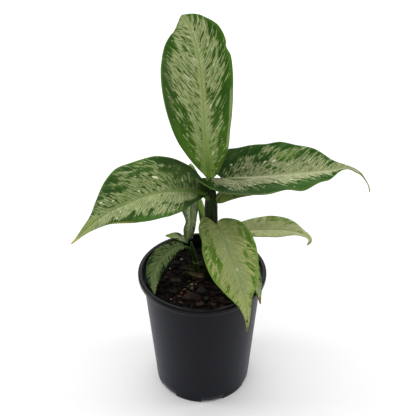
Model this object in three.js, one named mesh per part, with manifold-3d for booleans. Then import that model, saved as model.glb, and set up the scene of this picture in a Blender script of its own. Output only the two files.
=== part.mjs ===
// Potted dieffenbachia in a round nursery pot.
// Millimetres, +Z up. The origin is the middle of the pot's underside.
// The front is towards -Y: there the pale leaf hangs over the rim.

import * as THREE from 'three';
import { mergeVertices } from 'three/addons/utils/BufferGeometryUtils.js';
import Module from 'manifold-3d';

const wasm = await Module();
wasm.setup();

// Pot
const potHeight = 150;
const rimRadius = 70; // outside of the rolled lip
const lipWidth = 5;
const lipHeight = 6.5;
const shoulderRadius = 64.5; // outside of the wall just under the lip
const baseRadius = 54;
const wallThickness = 1.8;
const floorThickness = 2.5;
const potSides = 48;
const drainCount = 6;
const drainWidth = 25;
const drainHeight = 3.5;
const firstDrain = THREE.MathUtils.degToRad(-78);

// Soil
const soilLevel = 135;
const soilClearance = 0.6; // from the pot's wall
const chipCount = 46;
const chipClearance = 16; // from the middle of a stem

// Leaves
const bladeThickness = 0.9;
const petioleRadius = 2.1;
const keelRadius = 1.1;
const wingFlatness = 0.12; // a petiole wing's thickness as a share of its breadth
const wingSpread = [0, 0.8, 0.6]; // the way in which it is broad
const veinSweep = 0.25; // how far ahead of its midrib end a side vein meets the margin, in blade lengths
const lobePlace = 0.05; // where along the margin a basal lobe reaches back furthest

// Pieces that touch stay this far apart
const gap = 0.3;

const vec = ([x, y, z]) => new THREE.Vector3(x, y, z);
const lerp = THREE.MathUtils.lerp;

// A repeatable random draw between 0 and 1
function seeded(seed) {
  let state = seed;
  return () => {
    state = (state * 16807) % 2147483647;
    return state / 2147483647;
  };
}

// The value at q, from 0 to 1, of a list of evenly spaced numbers
function along(values, q) {
  const place = THREE.MathUtils.clamp(q, 0, 1) * (values.length - 1);
  const k = Math.min(Math.floor(place), values.length - 2);
  return lerp(values[k], values[k + 1], place - k);
}

// A geometry as a solid, with its corners shared and its collapsed triangles dropped
function solid(geometry) {
  geometry.deleteAttribute('normal');
  geometry.deleteAttribute('uv');
  const merged = mergeVertices(geometry, 1e-4);
  const corners = merged.index.array;
  const kept = [];
  for (let k = 0; k < corners.length; k += 3) {
    const [a, b, c] = [corners[k], corners[k + 1], corners[k + 2]];
    if (a !== b && b !== c && c !== a) {
      kept.push(a, b, c);
    }
  }
  const vertProperties = new Float32Array(merged.attributes.position.array);
  const triVerts = new Uint32Array(kept);
  return new wasm.Manifold(new wasm.Mesh({ numProp: 3, vertProperties, triVerts }));
}

// The main body of a fused solid: loose scraps are dropped and sealed hollows filled
function mainBody(body) {
  const parts = body.decompose().sort((a, b) => b.volume() - a.volume());
  return parts[0];
}

function geometryOf(points, triangles) {
  const geometry = new THREE.BufferGeometry();
  const numbers = points.flatMap((p) => p.toArray());
  geometry.setAttribute('position', new THREE.Float32BufferAttribute(numbers, 3));
  geometry.setIndex(triangles);
  return geometry;
}

// A piece of the plant or pot as a named mesh
function piece(name, body, colour, roughness) {
  const { vertProperties, triVerts } = mainBody(body).getMesh();
  const geometry = new THREE.BufferGeometry();
  geometry.setAttribute('position', new THREE.BufferAttribute(new Float32Array(vertProperties), 3));
  geometry.setIndex(Array.from(triVerts));
  geometry.computeVertexNormals();
  const look = { color: colour, roughness, metalness: 0, flatShading: true };
  const mesh = new THREE.Mesh(geometry, new THREE.MeshStandardMaterial(look));
  mesh.name = name;
  return mesh;
}

// A profile of [radius, height] points turned about the Z axis
function turned(profile, sides) {
  const points = profile.map(([radius, height]) => new THREE.Vector2(radius, height));
  return new THREE.LatheGeometry(points, sides).rotateX(Math.PI / 2);
}

// A stalk: rings of growing or shrinking radius along a smooth curve, closed at both ends.
// radii are spread evenly along it, flat squeezes the rings across up, and grow widens it all round.
function stalk(points, radii, { sides = 8, steps = 10, flat = 1, grow = 0, up = [0, 1, 0] } = {}) {
  const curve = new THREE.CatmullRomCurve3(points.map(vec));
  const corners = [];
  const triangles = [];
  for (let i = 0; i <= steps; i += 1) {
    const centre = curve.getPointAt(i / steps);
    const tangent = curve.getTangentAt(i / steps);
    if (i === 0 || i === steps) {
      centre.addScaledVector(tangent, i === 0 ? -grow : grow);
    }
    const tall = vec(up).addScaledVector(tangent, -tangent.dot(vec(up))).normalize();
    const wide = new THREE.Vector3().crossVectors(tangent, tall);
    const radius = along(radii, i / steps);
    for (let j = 0; j < sides; j += 1) {
      const angle = (2 * Math.PI * (j + 0.5)) / sides;
      const corner = centre.clone();
      corner.addScaledVector(wide, (radius * flat + grow) * Math.cos(angle));
      corner.addScaledVector(tall, (radius + grow) * Math.sin(angle));
      corners.push(corner);
      if (i < steps) {
        const a = i * sides + j;
        const b = i * sides + ((j + 1) % sides);
        triangles.push(a, b + sides, b, a, a + sides, b + sides);
      }
    }
  }
  for (let j = 1; j < sides - 1; j += 1) {
    const last = steps * sides;
    triangles.push(0, j, j + 1, last, last + j + 1, last + j);
  }
  return solid(geometryOf(corners, triangles));
}

// The middle surface of a leaf blade. t runs from the petiole to the tip. side runs from -1 at the left
// margin through 0 at the midrib to 1 at the right margin, seen on the upper face with the tip ahead.
// The blade is drawn flat first: margins from the outline, with the basal lobes swept back past the petiole,
// and rows that leave the midrib forward as the side veins do. Then it is bent along the midrib curve, each
// half is folded up from it and curled towards its margin, and the margin is waved.
function bladeSurface(leaf) {
  const { midrib, outline, faces, folds, curls, lobes, tail = 0.12, waves = [] } = leaf;
  const curve = new THREE.CatmullRomCurve3(midrib.map(vec));
  curve.arcLengthDivisions = 400;
  const length = curve.getLength();
  const start = curve.getPointAt(0);
  const startTangent = curve.getTangentAt(0);
  const stretch = 100; // t is stretched to the size of the widths, for a smooth curve through both
  const stations = outline.map(([t, left, right]) => vec([stretch * t, left, right]));
  const drawn = new THREE.CatmullRomCurve3(stations).getPoints(20 * (outline.length - 1));

  function halfWidth(t, right) {
    const key = right ? 'z' : 'y';
    const place = stretch * t;
    const k = Math.min(Math.max(drawn.findIndex((p) => p.x >= place), 1), drawn.length - 1);
    const share = (place - drawn[k - 1].x) / (drawn[k].x - drawn[k - 1].x);
    return lerp(drawn[k - 1][key], drawn[k][key], THREE.MathUtils.clamp(share, 0, 1));
  }

  return (t, side) => {
    const across = Math.abs(side);
    const half = side > 0 ? 1 : 0;
    const body = 1 - tail;
    const veinStart = length * (t - veinSweep * body * Math.sin(Math.PI * Math.min(t / body, 1)));
    const sweptBack = (t / lobePlace) * Math.exp(1 - t / lobePlace);
    const veinEnd = t * length - lobes[half] * sweptBack;
    const x = lerp(veinStart, veinEnd, across ** 1.15);
    const width = halfWidth(t, side > 0);

    const q = THREE.MathUtils.clamp(x / length, 0, 1);
    const centre = x < 0 ? start.clone().addScaledVector(startTangent, x) : curve.getPointAt(q);
    const tangent = x < 0 ? startTangent.clone() : curve.getTangentAt(q);
    const face = new THREE.Vector3(...[0, 1, 2].map((k) => along(faces.map((f) => f[k]), q)));
    face.addScaledVector(tangent, -tangent.dot(face)).normalize();
    const rightward = new THREE.Vector3().crossVectors(tangent, face);

    const fold = THREE.MathUtils.degToRad(along(folds.map((f) => f[half]), q));
    const curl = THREE.MathUtils.degToRad(along(curls.map((c) => c[half]), q) * across);
    const chord = curl === 0 ? 1 : Math.sin(curl / 2) / (curl / 2);
    const out = width * across * chord * Math.cos(fold + curl / 2);
    let rise = width * across * chord * Math.sin(fold + curl / 2);
    for (const [onRight, height, count, phase] of waves) {
      if (onRight === half) {
        const strength = Math.sin(Math.PI * Math.min(1.05 * t, 1)) ** 0.5;
        rise += height * across ** 2.2 * strength * Math.sin(2 * Math.PI * (count * t + phase));
      }
    }
    return centre.addScaledVector(rightward, Math.sign(side) * out).addScaledVector(face, rise);
  };
}

// A blade as a thin solid: the middle surface with a skin on each side, split into triangles alike
function blade(leaf, rows, columns) {
  const surface = bladeSurface(leaf);
  const step = 1e-3;
  const upper = [];
  const lower = [];
  for (let i = 0; i <= rows; i += 1) {
    for (let j = 0; j <= 2 * columns; j += 1) {
      const t = i / rows;
      const side = (j - columns) / columns;
      const ahead = surface(Math.min(t + step, 1), side).sub(surface(Math.max(t - step, 0), side));
      const aside = surface(t, Math.min(side + step, 1)).sub(surface(t, Math.max(side - step, -1)));
      const normal = new THREE.Vector3().crossVectors(aside, ahead).normalize();
      const middle = surface(t, side);
      upper.push(middle.clone().addScaledVector(normal, bladeThickness / 2));
      lower.push(middle.clone().addScaledVector(normal, -bladeThickness / 2));
    }
  }
  const wide = 2 * columns + 1;
  const under = upper.length;
  const triangles = [];
  const quad = (a, b, c, d) => triangles.push(a, b, c, a, c, d);
  for (let i = 0; i < rows; i += 1) {
    for (let j = 0; j < wide - 1; j += 1) {
      const a = i * wide + j;
      quad(a, a + 1, a + wide + 1, a + wide);
      triangles.push(under + a, under + a + wide + 1, under + a + 1);
      triangles.push(under + a, under + a + wide, under + a + wide + 1);
    }
    const left = i * wide;
    const right = left + wide - 1;
    quad(left, left + wide, under + left + wide, under + left);
    quad(right + wide, right, under + right, under + right + wide);
  }
  for (let j = 0; j < wide - 1; j += 1) {
    const tip = rows * wide + j;
    quad(j + 1, j, under + j, under + j + 1);
    quad(tip, tip + 1, under + tip + 1, under + tip);
  }
  return solid(geometryOf([...upper, ...lower], triangles));
}

// The petiole, which runs on under the blade as a keel and fades out along it
function petioleAndKeel(leaf) {
  const surface = bladeSurface(leaf);
  const keel = [0.16, 0.4, 0.68].map((t) => {
    const ahead = surface(t + 0.01, 0).sub(surface(t - 0.01, 0));
    const aside = surface(t, 0.02).sub(surface(t, -0.02));
    const under = new THREE.Vector3().crossVectors(ahead, aside).normalize();
    return surface(t, 0).addScaledVector(under, 0.7 * keelRadius).toArray();
  });
  const thick = leaf.stalkRadius ?? petioleRadius;
  const radii = [1.6 * thick, 1.15 * thick, 0.95 * thick, keelRadius, 0.8 * keelRadius, 0.45];
  return stalk([...leaf.petiole, ...keel], radii, { sides: 6, steps: leaf.stalkSteps ?? 14 });
}

function wholeLeaf(leaf) {
  let body = blade(leaf, leaf.rows ?? 22, leaf.columns ?? 3).add(petioleAndKeel(leaf));
  if (leaf.wing) {
    const { points, radii } = leaf.wing;
    body = body.add(stalk(points, radii, { sides: 8, steps: 12, flat: wingFlatness, up: wingSpread }));
  }
  return body;
}

// Stems
const cane = {
  points: [[8.5, 4, 108], [8.5, 4, 150], [9.4, 4, 200], [9.4, 4, 249]],
  radii: [7.2, 7.6, 7.8, 7.6, 7.7, 7.5, 7.3, 6.8, 5],
};
const shoot = {
  points: [[-6, 16, 108], [-7, 16, 145], [-11, 15, 168], [-12, 15.5, 175]],
  radii: [3.6, 3.6, 3.4, 3.5, 3, 2.4, 1.4],
};
const caneAround = stalk(cane.points, cane.radii, { sides: 14, steps: 16, grow: gap });
const shootAround = stalk(shoot.points, shoot.radii, { sides: 10, steps: 12, grow: gap });

// Leaves
// midrib: points of the midrib curve. outline: [t, left, right] half widths.
// faces: where the upper face looks, spread along the blade.
// folds and curls: degrees for the [left, right] half, spread along the blade.
// lobes: how far the [left, right] basal lobe sweeps back. tail: the share of the length with no side veins.
// waves: [right half or not, height, number, start] of a wave along the margin.
// petiole: its points up to the blade. wing: the broad thin sheath between a petiole and its blade.
const leaves = {
  leaf_top: {
    midrib: [[8, 8.6, 256], [4, 17.5, 298], [1, 33, 343], [-4, 47, 380], [-12, 57, 402], [-19, 60, 411]],
    outline: [
      [0, 1, 1], [0.06, 6.5, 10.5], [0.12, 14, 16], [0.2, 22, 22], [0.3, 30.5, 25], [0.45, 37.5, 28.5],
      [0.6, 39.5, 31], [0.7, 38.5, 31.5], [0.73, 37.6, 31], [0.765, 36.2, 28.4], [0.8, 34.5, 29.2],
      [0.87, 29, 26.4], [0.93, 20, 17], [0.97, 11, 8], [1, 0.6, 0.6],
    ],
    faces: [[0, -1, 0.3], [0, -1, 0.35], [0, -1, 0.35]],
    folds: [[20, 20], [12, 12], [6, 8]],
    curls: [[-12, -8], [-14, -16], [-18, -18]],
    lobes: [0, 0],
    tail: 0.03,
    waves: [[1, 1.6, 4.6, 0.2], [0, 1.2, 3, 0.4]],
    petiole: [[9.4, 4.5, 240], [9, 7.8, 250], [8, 9.8, 258]],
    stalkRadius: 2.6,
  },
  leaf_left: {
    midrib: [
      [2, -5, 249], [-20, -12, 257], [-51, -20, 257], [-75, -27, 250], [-93, -32, 243], [-111, -36, 230],
      [-130, -38, 211],
    ],
    outline: [
      [0, 1, 1], [0.03, 1.6, 7], [0.06, 2.4, 13], [0.12, 12.6, 25], [0.16, 20.5, 30.5], [0.2, 26.5, 35],
      [0.25, 31, 38.5], [0.3, 34, 41], [0.4, 35, 41.5], [0.5, 30, 41], [0.6, 23.3, 34],
      [0.7, 14.2, 20.5], [0.8, 7.5, 7.8], [0.9, 4, 2.8], [1, 0.6, 0.6],
    ],
    faces: [[-0.1, -0.5, 1], [-0.3, -0.5, 1], [-0.6, -0.5, 1]],
    folds: [[16, 20], [20, 18], [14, 14]],
    curls: [[-14, -14], [-16, -16], [-14, -14]],
    lobes: [12, 12],
    tail: 0.2,
    waves: [[0, 1.2, 3.4, 0.1], [1, 1.4, 3, 0.6]],
    petiole: [[8.5, 3.5, 238], [5, -0.5, 243], [2.3, -4.5, 248]],
  },
  leaf_right: {
    midrib: [
      [20, 4, 262], [36, 6, 259.5], [58, 8, 261], [101, 16, 261], [132, 22, 261], [153, 26, 261],
      [164, 29, 254], [171, 30, 246], [176, 30, 238], [178, 29, 231],
    ],
    outline: [
      [0, 1, 1], [0.02, 9, 2], [0.045, 20, 3], [0.06, 26, 7], [0.08, 31, 15], [0.1, 35, 22],
      [0.12, 38, 27], [0.2, 39.3, 28.5], [0.3, 38.5, 30], [0.4, 42, 31], [0.5, 34, 27.5],
      [0.6, 26, 17], [0.7, 10.5, 5.5], [0.78, 2.4, 2.2], [0.88, 1.2, 1.2], [1, 0.6, 0.6],
    ],
    faces: [[0, -0.2, 1], [0.1, -0.2, 1], [0.3, -0.2, 1]],
    folds: [[22, 10], [20, 18], [20, 16]],
    curls: [[-8, -8], [-10, -10], [-10, -10]],
    lobes: [16, 35],
    tail: 0.25,
    waves: [[1, 2.2, 5.2, 0.5], [0, 1.4, 3.5, 0.3]],
    petiole: [[10, 3.6, 232], [17, 3.2, 242], [24, 4.1, 250], [34, 6, 256.9]],
    stalkRadius: 1.8,
    wing: {
      points: [
        [13, 5.5, 235.5], [19, 1.6, 240.6], [26, -1.2, 246.2], [38, -1.2, 251.6], [52, 0.6, 253.6],
        [65, 4.4, 255], [78, 10.5, 257.8],
      ],
      radii: [3.5, 7, 7.6, 8.4, 8.4, 6.6, 3.8, 1.2],
    },
    rows: 28,
  },
  leaf_front: {
    midrib: [
      [15, -12, 217], [23, -24, 206], [28, -37, 196], [36, -50, 182], [41, -62, 169], [44, -74, 161],
      [45, -82, 152], [45, -86, 138],
    ],
    outline: [
      [0, 1, 1], [0.03, 7.5, 7], [0.06, 15, 12], [0.09, 21, 16.5], [0.12, 25, 20], [0.2, 29, 25],
      [0.3, 30, 26], [0.4, 28, 26], [0.5, 22.6, 24], [0.6, 17.2, 19], [0.7, 8.5, 12.3], [0.8, 4.5, 5.8],
      [0.9, 2.4, 1.8], [1, 0.6, 0.6],
    ],
    faces: [[0, -0.5, 1], [0.1, -0.7, 1], [0.1, -1, 0.3]],
    folds: [[10, 10], [6, 6], [10, 10]],
    curls: [[-20, -20], [-20, -20], [-10, -10]],
    lobes: [7.5, 17],
    tail: 0.2,
    petiole: [[10, 2, 172], [12, -6, 192], [13.5, -11.5, 207], [15.5, -14, 214.5]],
  },
  leaf_small: {
    midrib: [
      [36, 8, 195], [62, 8, 196], [87, 6, 197], [103, 4, 195], [112, 3, 191], [115, 1, 187], [112, 0, 182],
    ],
    outline: [
      [0, 1, 1], [0.06, 7, 7], [0.12, 10.5, 10], [0.2, 13.2, 12], [0.4, 16.5, 13], [0.5, 16, 13],
      [0.6, 14.5, 10], [0.7, 11, 6], [0.8, 5.5, 4], [0.9, 2.8, 2.8], [1, 0.6, 0.6],
    ],
    faces: [[0, -0.3, 1], [0.1, -0.3, 1], [0.3, -0.3, 1]],
    folds: [[26, 26], [24, 24], [16, 16]],
    curls: [[-14, -14], [-16, -16], [-10, -10]],
    lobes: [5, 5],
    petiole: [[10, 5, 160], [19, 6, 176], [27, 7.5, 188], [37, 8, 193.6]],
    stalkRadius: 1.7,
    rows: 16,
    columns: 2,
  },
  leaf_behind: {
    midrib: [[30, -8, 190], [42, -18, 184], [52, -29, 169], [58, -38, 154], [61, -45, 139]],
    outline: [
      [0, 1, 1], [0.1, 6, 6], [0.25, 10, 10], [0.45, 11, 11], [0.65, 8.5, 8.5], [0.8, 5, 5],
      [0.9, 2.6, 2.6], [1, 0.6, 0.6],
    ],
    faces: [[0.2, -0.3, 1], [0.4, -0.4, 0.8], [0.6, -0.5, 0.3]],
    folds: [[18, 18], [14, 14], [10, 10]],
    curls: [[-16, -16], [-16, -16], [-16, -16]],
    lobes: [3, 3],
    petiole: [[10, 3, 148], [18, -1, 168], [24, -4.5, 182], [31, -9, 188.6]],
    stalkRadius: 1.6,
    rows: 14,
    columns: 2,
  },
  leaf_folded: {
    midrib: [
      [-13, 34, 260], [-12, 37, 240], [-13, 37, 210], [-13, 36.5, 190], [-14.5, 35.5, 174], [-17, 34, 162.5],
      [-23, 33, 166.5], [-30, 32.5, 170.5], [-41, 31, 172.5],
    ],
    outline: [
      [0, 1, 1], [0.08, 7, 7], [0.2, 12, 12], [0.38, 16.5, 12], [0.46, 16, 9], [0.52, 12.5, 7.5],
      [0.56, 9.2, 7], [0.6, 6.8, 6.6], [0.66, 8, 6], [0.72, 7.6, 4.6], [0.77, 4.8, 4.4], [0.83, 5.8, 6.8],
      [0.88, 5, 6.8], [0.93, 3.8, 4.4], [1, 0.6, 0.6],
    ],
    faces: [[0.3, 1, 0.2], [0.5, 1, 0], [0.6, 1, 0], [0.2, 0.3, 1], [0, -0.5, 0.85]],
    folds: [[20, 20], [20, 20], [14, 14]],
    curls: [[-16, -16], [-20, -20], [-16, -16]],
    lobes: [3, 3],
    petiole: [[8.5, 4.5, 180], [0, 12, 202], [-4, 20, 235], [-9, 30, 260], [-12.6, 34.5, 261]],
    stalkRadius: 1.7,
    rows: 24,
    columns: 2,
    stalkSteps: 20,
  },
  leaf_low: {
    midrib: [
      [-20, 12, 172], [-30, 12, 170], [-41, 7, 164], [-49, 0, 156], [-52, -8, 150], [-52, -18, 145],
      [-50, -32, 141],
    ],
    outline: [
      [0, 1, 1], [0.1, 6, 6], [0.2, 9, 9], [0.35, 11, 11], [0.5, 11, 11], [0.65, 9, 9], [0.8, 6, 6],
      [0.9, 3, 3], [1, 0.6, 0.6],
    ],
    faces: [[-0.1, -0.6, 0.8], [-0.2, -0.7, 0.7], [-0.2, -0.7, 0.7]],
    folds: [[16, 16], [14, 14], [10, 10]],
    curls: [[-16, -16], [-20, -20], [-16, -16]],
    lobes: [3, 3],
    petiole: [[-7.5, 15.5, 150], [-12, 13.5, 165], [-16, 12, 170.3], [-21, 12, 170.7]],
    stalkRadius: 1.7,
    rows: 16,
    columns: 2,
  },
  leaf_young: {
    midrib: [[1.8, -1.5, 219], [0.3, -1, 230], [-1.3, -0.5, 241]],
    outline: [[0, 1, 1], [0.2, 2, 2], [0.6, 3, 3], [0.85, 2, 2], [1, 0.6, 0.6]],
    faces: [[-0.3, -1, 0.3], [-0.3, -1, 0.3]],
    folds: [[30, 30], [25, 25]],
    curls: [[0, 0], [0, 0]],
    lobes: [0, 0],
    petiole: [[8, 3, 172], [0.5, 0, 190], [-2.6, -1, 206], [1, -1.4, 218]],
    stalkRadius: 1.6,
    rows: 10,
    columns: 1,
  },
};

// Dead sheaths at the foot of the stems: narrow curled blades with no petiole
const drySheaths = {
  dry_sheath_shoot: {
    midrib: [[-7, 15, 138], [-12, 13, 141], [-19, 12, 144]],
    outline: [[0, 2, 2], [0.4, 3.4, 3.4], [0.8, 2.4, 2.4], [1, 0.6, 0.6]],
    faces: [[0, -0.6, 0.8], [0, -0.8, 0.6]],
    folds: [[20, 20], [10, 10]],
    curls: [[0, 0], [0, 0]],
    lobes: [0, 0],
  },
  dry_sheath_cane: {
    midrib: [[6, 3, 138.5], [-1, 1, 139.5], [-9, 3, 140], [-19, 6, 142]],
    outline: [[0, 2, 2], [0.3, 2.6, 2.6], [0.7, 2, 2], [1, 0.6, 0.6]],
    faces: [[0, -0.4, 1], [0, -0.6, 0.8]],
    folds: [[10, 10], [10, 10]],
    curls: [[0, 0], [0, 0]],
    lobes: [0, 0],
  },
};

// The wall's radius, inside or outside, at a height under the lip
const wallRadius = (height) => lerp(baseRadius, shoulderRadius, height / (potHeight - lipHeight));
const innerRadius = (height) => wallRadius(height) - wallThickness;

function pot() {
  const lipBase = potHeight - lipHeight;
  const lipInside = rimRadius - lipWidth;
  const profile = [
    [0, 0],
    [baseRadius - 1, 0],
    [baseRadius, 1],
    [shoulderRadius, lipBase],
    [rimRadius - 1, lipBase],
    [rimRadius, lipBase + 1],
    [rimRadius, potHeight - 2],
    [rimRadius - 0.7, potHeight - 0.6],
    [rimRadius - 2, potHeight],
    [lipInside + 1.4, potHeight],
    [lipInside, potHeight - 1.2],
    [lipInside, potHeight - 3],
    [innerRadius(lipBase - 2), lipBase - 2],
    [innerRadius(floorThickness), floorThickness],
    [0, floorThickness],
  ];
  let body = solid(turned(profile, potSides));
  const reach = 12;
  for (let k = 0; k < drainCount; k += 1) {
    const angle = firstDrain + (2 * Math.PI * k) / drainCount;
    const notch = new THREE.BoxGeometry(reach, drainWidth, 2 * drainHeight);
    notch.translate(baseRadius + reach / 2 - 4.5, 0, 0).rotateZ(angle);
    body = body.subtract(solid(notch));
  }
  return body;
}

// The soil's surface: a low mound with dips
function soilHeight(x, y) {
  const mound = 0.8 * Math.cos(Math.hypot(x, y) / 22);
  const dips = 0.9 * Math.sin(0.17 * x + 1.1) * Math.cos(0.21 * y);
  const ripples = 0.5 * Math.sin(0.45 * x - 0.37 * y);
  return soilLevel + mound + dips + ripples;
}

function soil() {
  const bottom = floorThickness + gap;
  const foot = innerRadius(bottom) - soilClearance;
  const edge = innerRadius(soilLevel) - soilClearance;
  const rings = [0.97, 0.86, 0.72, 0.56, 0.38, 0.18].map((share) => [share * edge, soilLevel]);
  const ground = turned([[0, bottom], [foot, bottom], [edge, soilLevel - 3], ...rings, [0, soilLevel]], 36);
  const place = ground.attributes.position;
  for (let k = 0; k < place.count; k += 1) {
    if (place.getZ(k) > soilLevel - 1) {
      place.setZ(k, soilHeight(place.getX(k), place.getY(k)));
    }
  }
  const random = seeded(11);
  const chips = [];
  while (chips.length < chipCount) {
    const radius = (edge - 7) * Math.sqrt(random());
    const angle = 2 * Math.PI * random();
    const [x, y] = [radius * Math.cos(angle), radius * Math.sin(angle)];
    const size = [lerp(4, 11, random()), lerp(3, 6, random()), lerp(2, 3.5, random())];
    const tilt = () => lerp(-0.35, 0.35, random());
    const turn = new THREE.Euler(tilt(), tilt(), 2 * Math.PI * random());
    const distances = [cane, shoot].map(({ points: [[cx, cy]] }) => Math.hypot(x - cx, y - cy));
    if (Math.min(...distances) > chipClearance) {
      const chip = new THREE.BoxGeometry(...size);
      chip.applyMatrix4(new THREE.Matrix4().makeRotationFromEuler(turn));
      chips.push(solid(chip.translate(x, y, soilHeight(x, y) - 0.1 * size[2])));
    }
  }
  const littered = wasm.Manifold.union([solid(ground), ...chips]);
  return littered.subtract(caneAround).subtract(shootAround);
}

const green = '#4f7a2f';
const plant = new THREE.Group();
plant.add(piece('pot', pot(), '#26272b', 0.5));
plant.add(piece('soil', soil(), '#231a15', 0.95));
plant.add(piece('main_cane', stalk(cane.points, cane.radii, { sides: 14, steps: 16 }), '#2c4420', 0.5));
plant.add(piece('side_shoot', stalk(shoot.points, shoot.radii, { sides: 10, steps: 12 }), '#3d5c28', 0.5));
for (const [name, leaf] of Object.entries(leaves)) {
  plant.add(piece(name, wholeLeaf(leaf).subtract(caneAround).subtract(shootAround), green, 0.42));
}
for (const [name, sheath] of Object.entries(drySheaths)) {
  plant.add(piece(name, blade(sheath, 8, 1).subtract(caneAround).subtract(shootAround), '#8a7448', 0.8));
}

export default plant;
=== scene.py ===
import math

import bpy
import numpy as np
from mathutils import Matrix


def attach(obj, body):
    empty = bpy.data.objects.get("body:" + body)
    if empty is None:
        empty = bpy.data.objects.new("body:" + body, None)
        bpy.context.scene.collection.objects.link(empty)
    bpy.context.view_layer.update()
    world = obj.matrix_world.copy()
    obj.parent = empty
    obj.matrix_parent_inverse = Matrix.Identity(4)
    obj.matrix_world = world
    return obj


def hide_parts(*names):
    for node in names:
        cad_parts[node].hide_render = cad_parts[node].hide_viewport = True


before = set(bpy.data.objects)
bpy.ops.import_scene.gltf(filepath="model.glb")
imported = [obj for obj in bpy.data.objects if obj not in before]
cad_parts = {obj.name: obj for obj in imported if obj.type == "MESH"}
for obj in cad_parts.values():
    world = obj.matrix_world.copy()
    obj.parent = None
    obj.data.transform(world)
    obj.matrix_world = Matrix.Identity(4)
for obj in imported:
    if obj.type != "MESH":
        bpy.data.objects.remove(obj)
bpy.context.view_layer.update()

# lengths in the shapes are millimetres, turned to metres as a mesh is made
mm = 0.001
nothing = 1e-12  # least length that a vector is divided by
closest = 1e-4  # least gap between points that a curve's slope is divided by


def linear(hexColour):
    # a colour as a paint chart writes it, turned to the light it reflects
    parts = [int(hexColour[k:k + 2], 16) / 255 for k in (1, 3, 5)]
    return tuple(p / 12.92 if p < 0.04045 else ((p + 0.055) / 1.055) ** 2.4 for p in parts) + (1.0,)


print("camera, light and floor")

view = {
    "place": (0.0063, -0.6049, 0.6197),
    "down": 32.85,  # degrees below the horizon
    "focal": 700 / 416,  # focal length as a share of the picture's width
    "sensor": 36.0,
}
cameraData = bpy.data.cameras.new("camera")
cameraData.sensor_width = view["sensor"]
cameraData.lens = view["focal"] * view["sensor"]
cameraData.clip_start = 0.01
camera = bpy.data.objects.new("camera", cameraData)
camera.location = view["place"]
camera.rotation_euler = (math.radians(90 - view["down"]), 0, 0)
bpy.context.scene.collection.objects.link(camera)
bpy.context.scene.camera = camera
bpy.context.scene.view_settings.view_transform = "Standard"

studio = {
    "surround": 0.36,
    "floor": "#fbfbfb",
    "floorSize": 9.0,
    # name: place, aim, size, power
    "softboxes": {
        "above": ((-0.3, -0.2, 2.6), (0, 0, 0), (3.4, 3.4), 42.0),
        "left": ((-1.45, 0.1, 0.85), (0, 0, 0.15), (0.5, 1.2), 7.0),
        "right": ((1.45, 0.1, 0.85), (0, 0, 0.15), (0.5, 1.2), 7.0),
        "back": ((0, 1.9, 1.7), (0, 1.9, 0), (3.6, 1.8), 34.0),
    },
}


def softbox(name, place, aim, size, power):
    # a rectangular lamp turned to shine from its place to its aim
    light = bpy.data.lights.new(name, "AREA")
    light.shape = "RECTANGLE"
    light.size, light.size_y = size
    light.energy = power
    lamp = bpy.data.objects.new(name, light)
    towards = np.subtract(aim, place)
    across = math.hypot(towards[0], towards[1])
    lamp.location = place
    lamp.rotation_euler = (math.atan2(across, -towards[2]), 0, math.atan2(-towards[0], towards[1]))
    bpy.context.scene.collection.objects.link(lamp)


for name, settings in studio["softboxes"].items():
    softbox(name, *settings)

surround = bpy.data.worlds.new("surround")
surround.use_nodes = True
surround.node_tree.nodes["Background"].inputs["Color"].default_value = (1, 1, 1, 1)
surround.node_tree.nodes["Background"].inputs["Strength"].default_value = studio["surround"]
bpy.context.scene.world = surround


class Flow:
    # a socket of a material's nodes: arithmetic on it adds Math nodes
    def __init__(self, shader, socket):
        self.shader = shader
        self.socket = socket

    def __add__(self, other):
        return self.shader.math("ADD", self, other)

    def __sub__(self, other):
        return self.shader.math("SUBTRACT", self, other)

    def __rsub__(self, other):
        return self.shader.math("SUBTRACT", other, self)

    def __mul__(self, other):
        return self.shader.math("MULTIPLY", self, other)

    __radd__ = __add__
    __rmul__ = __mul__


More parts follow.
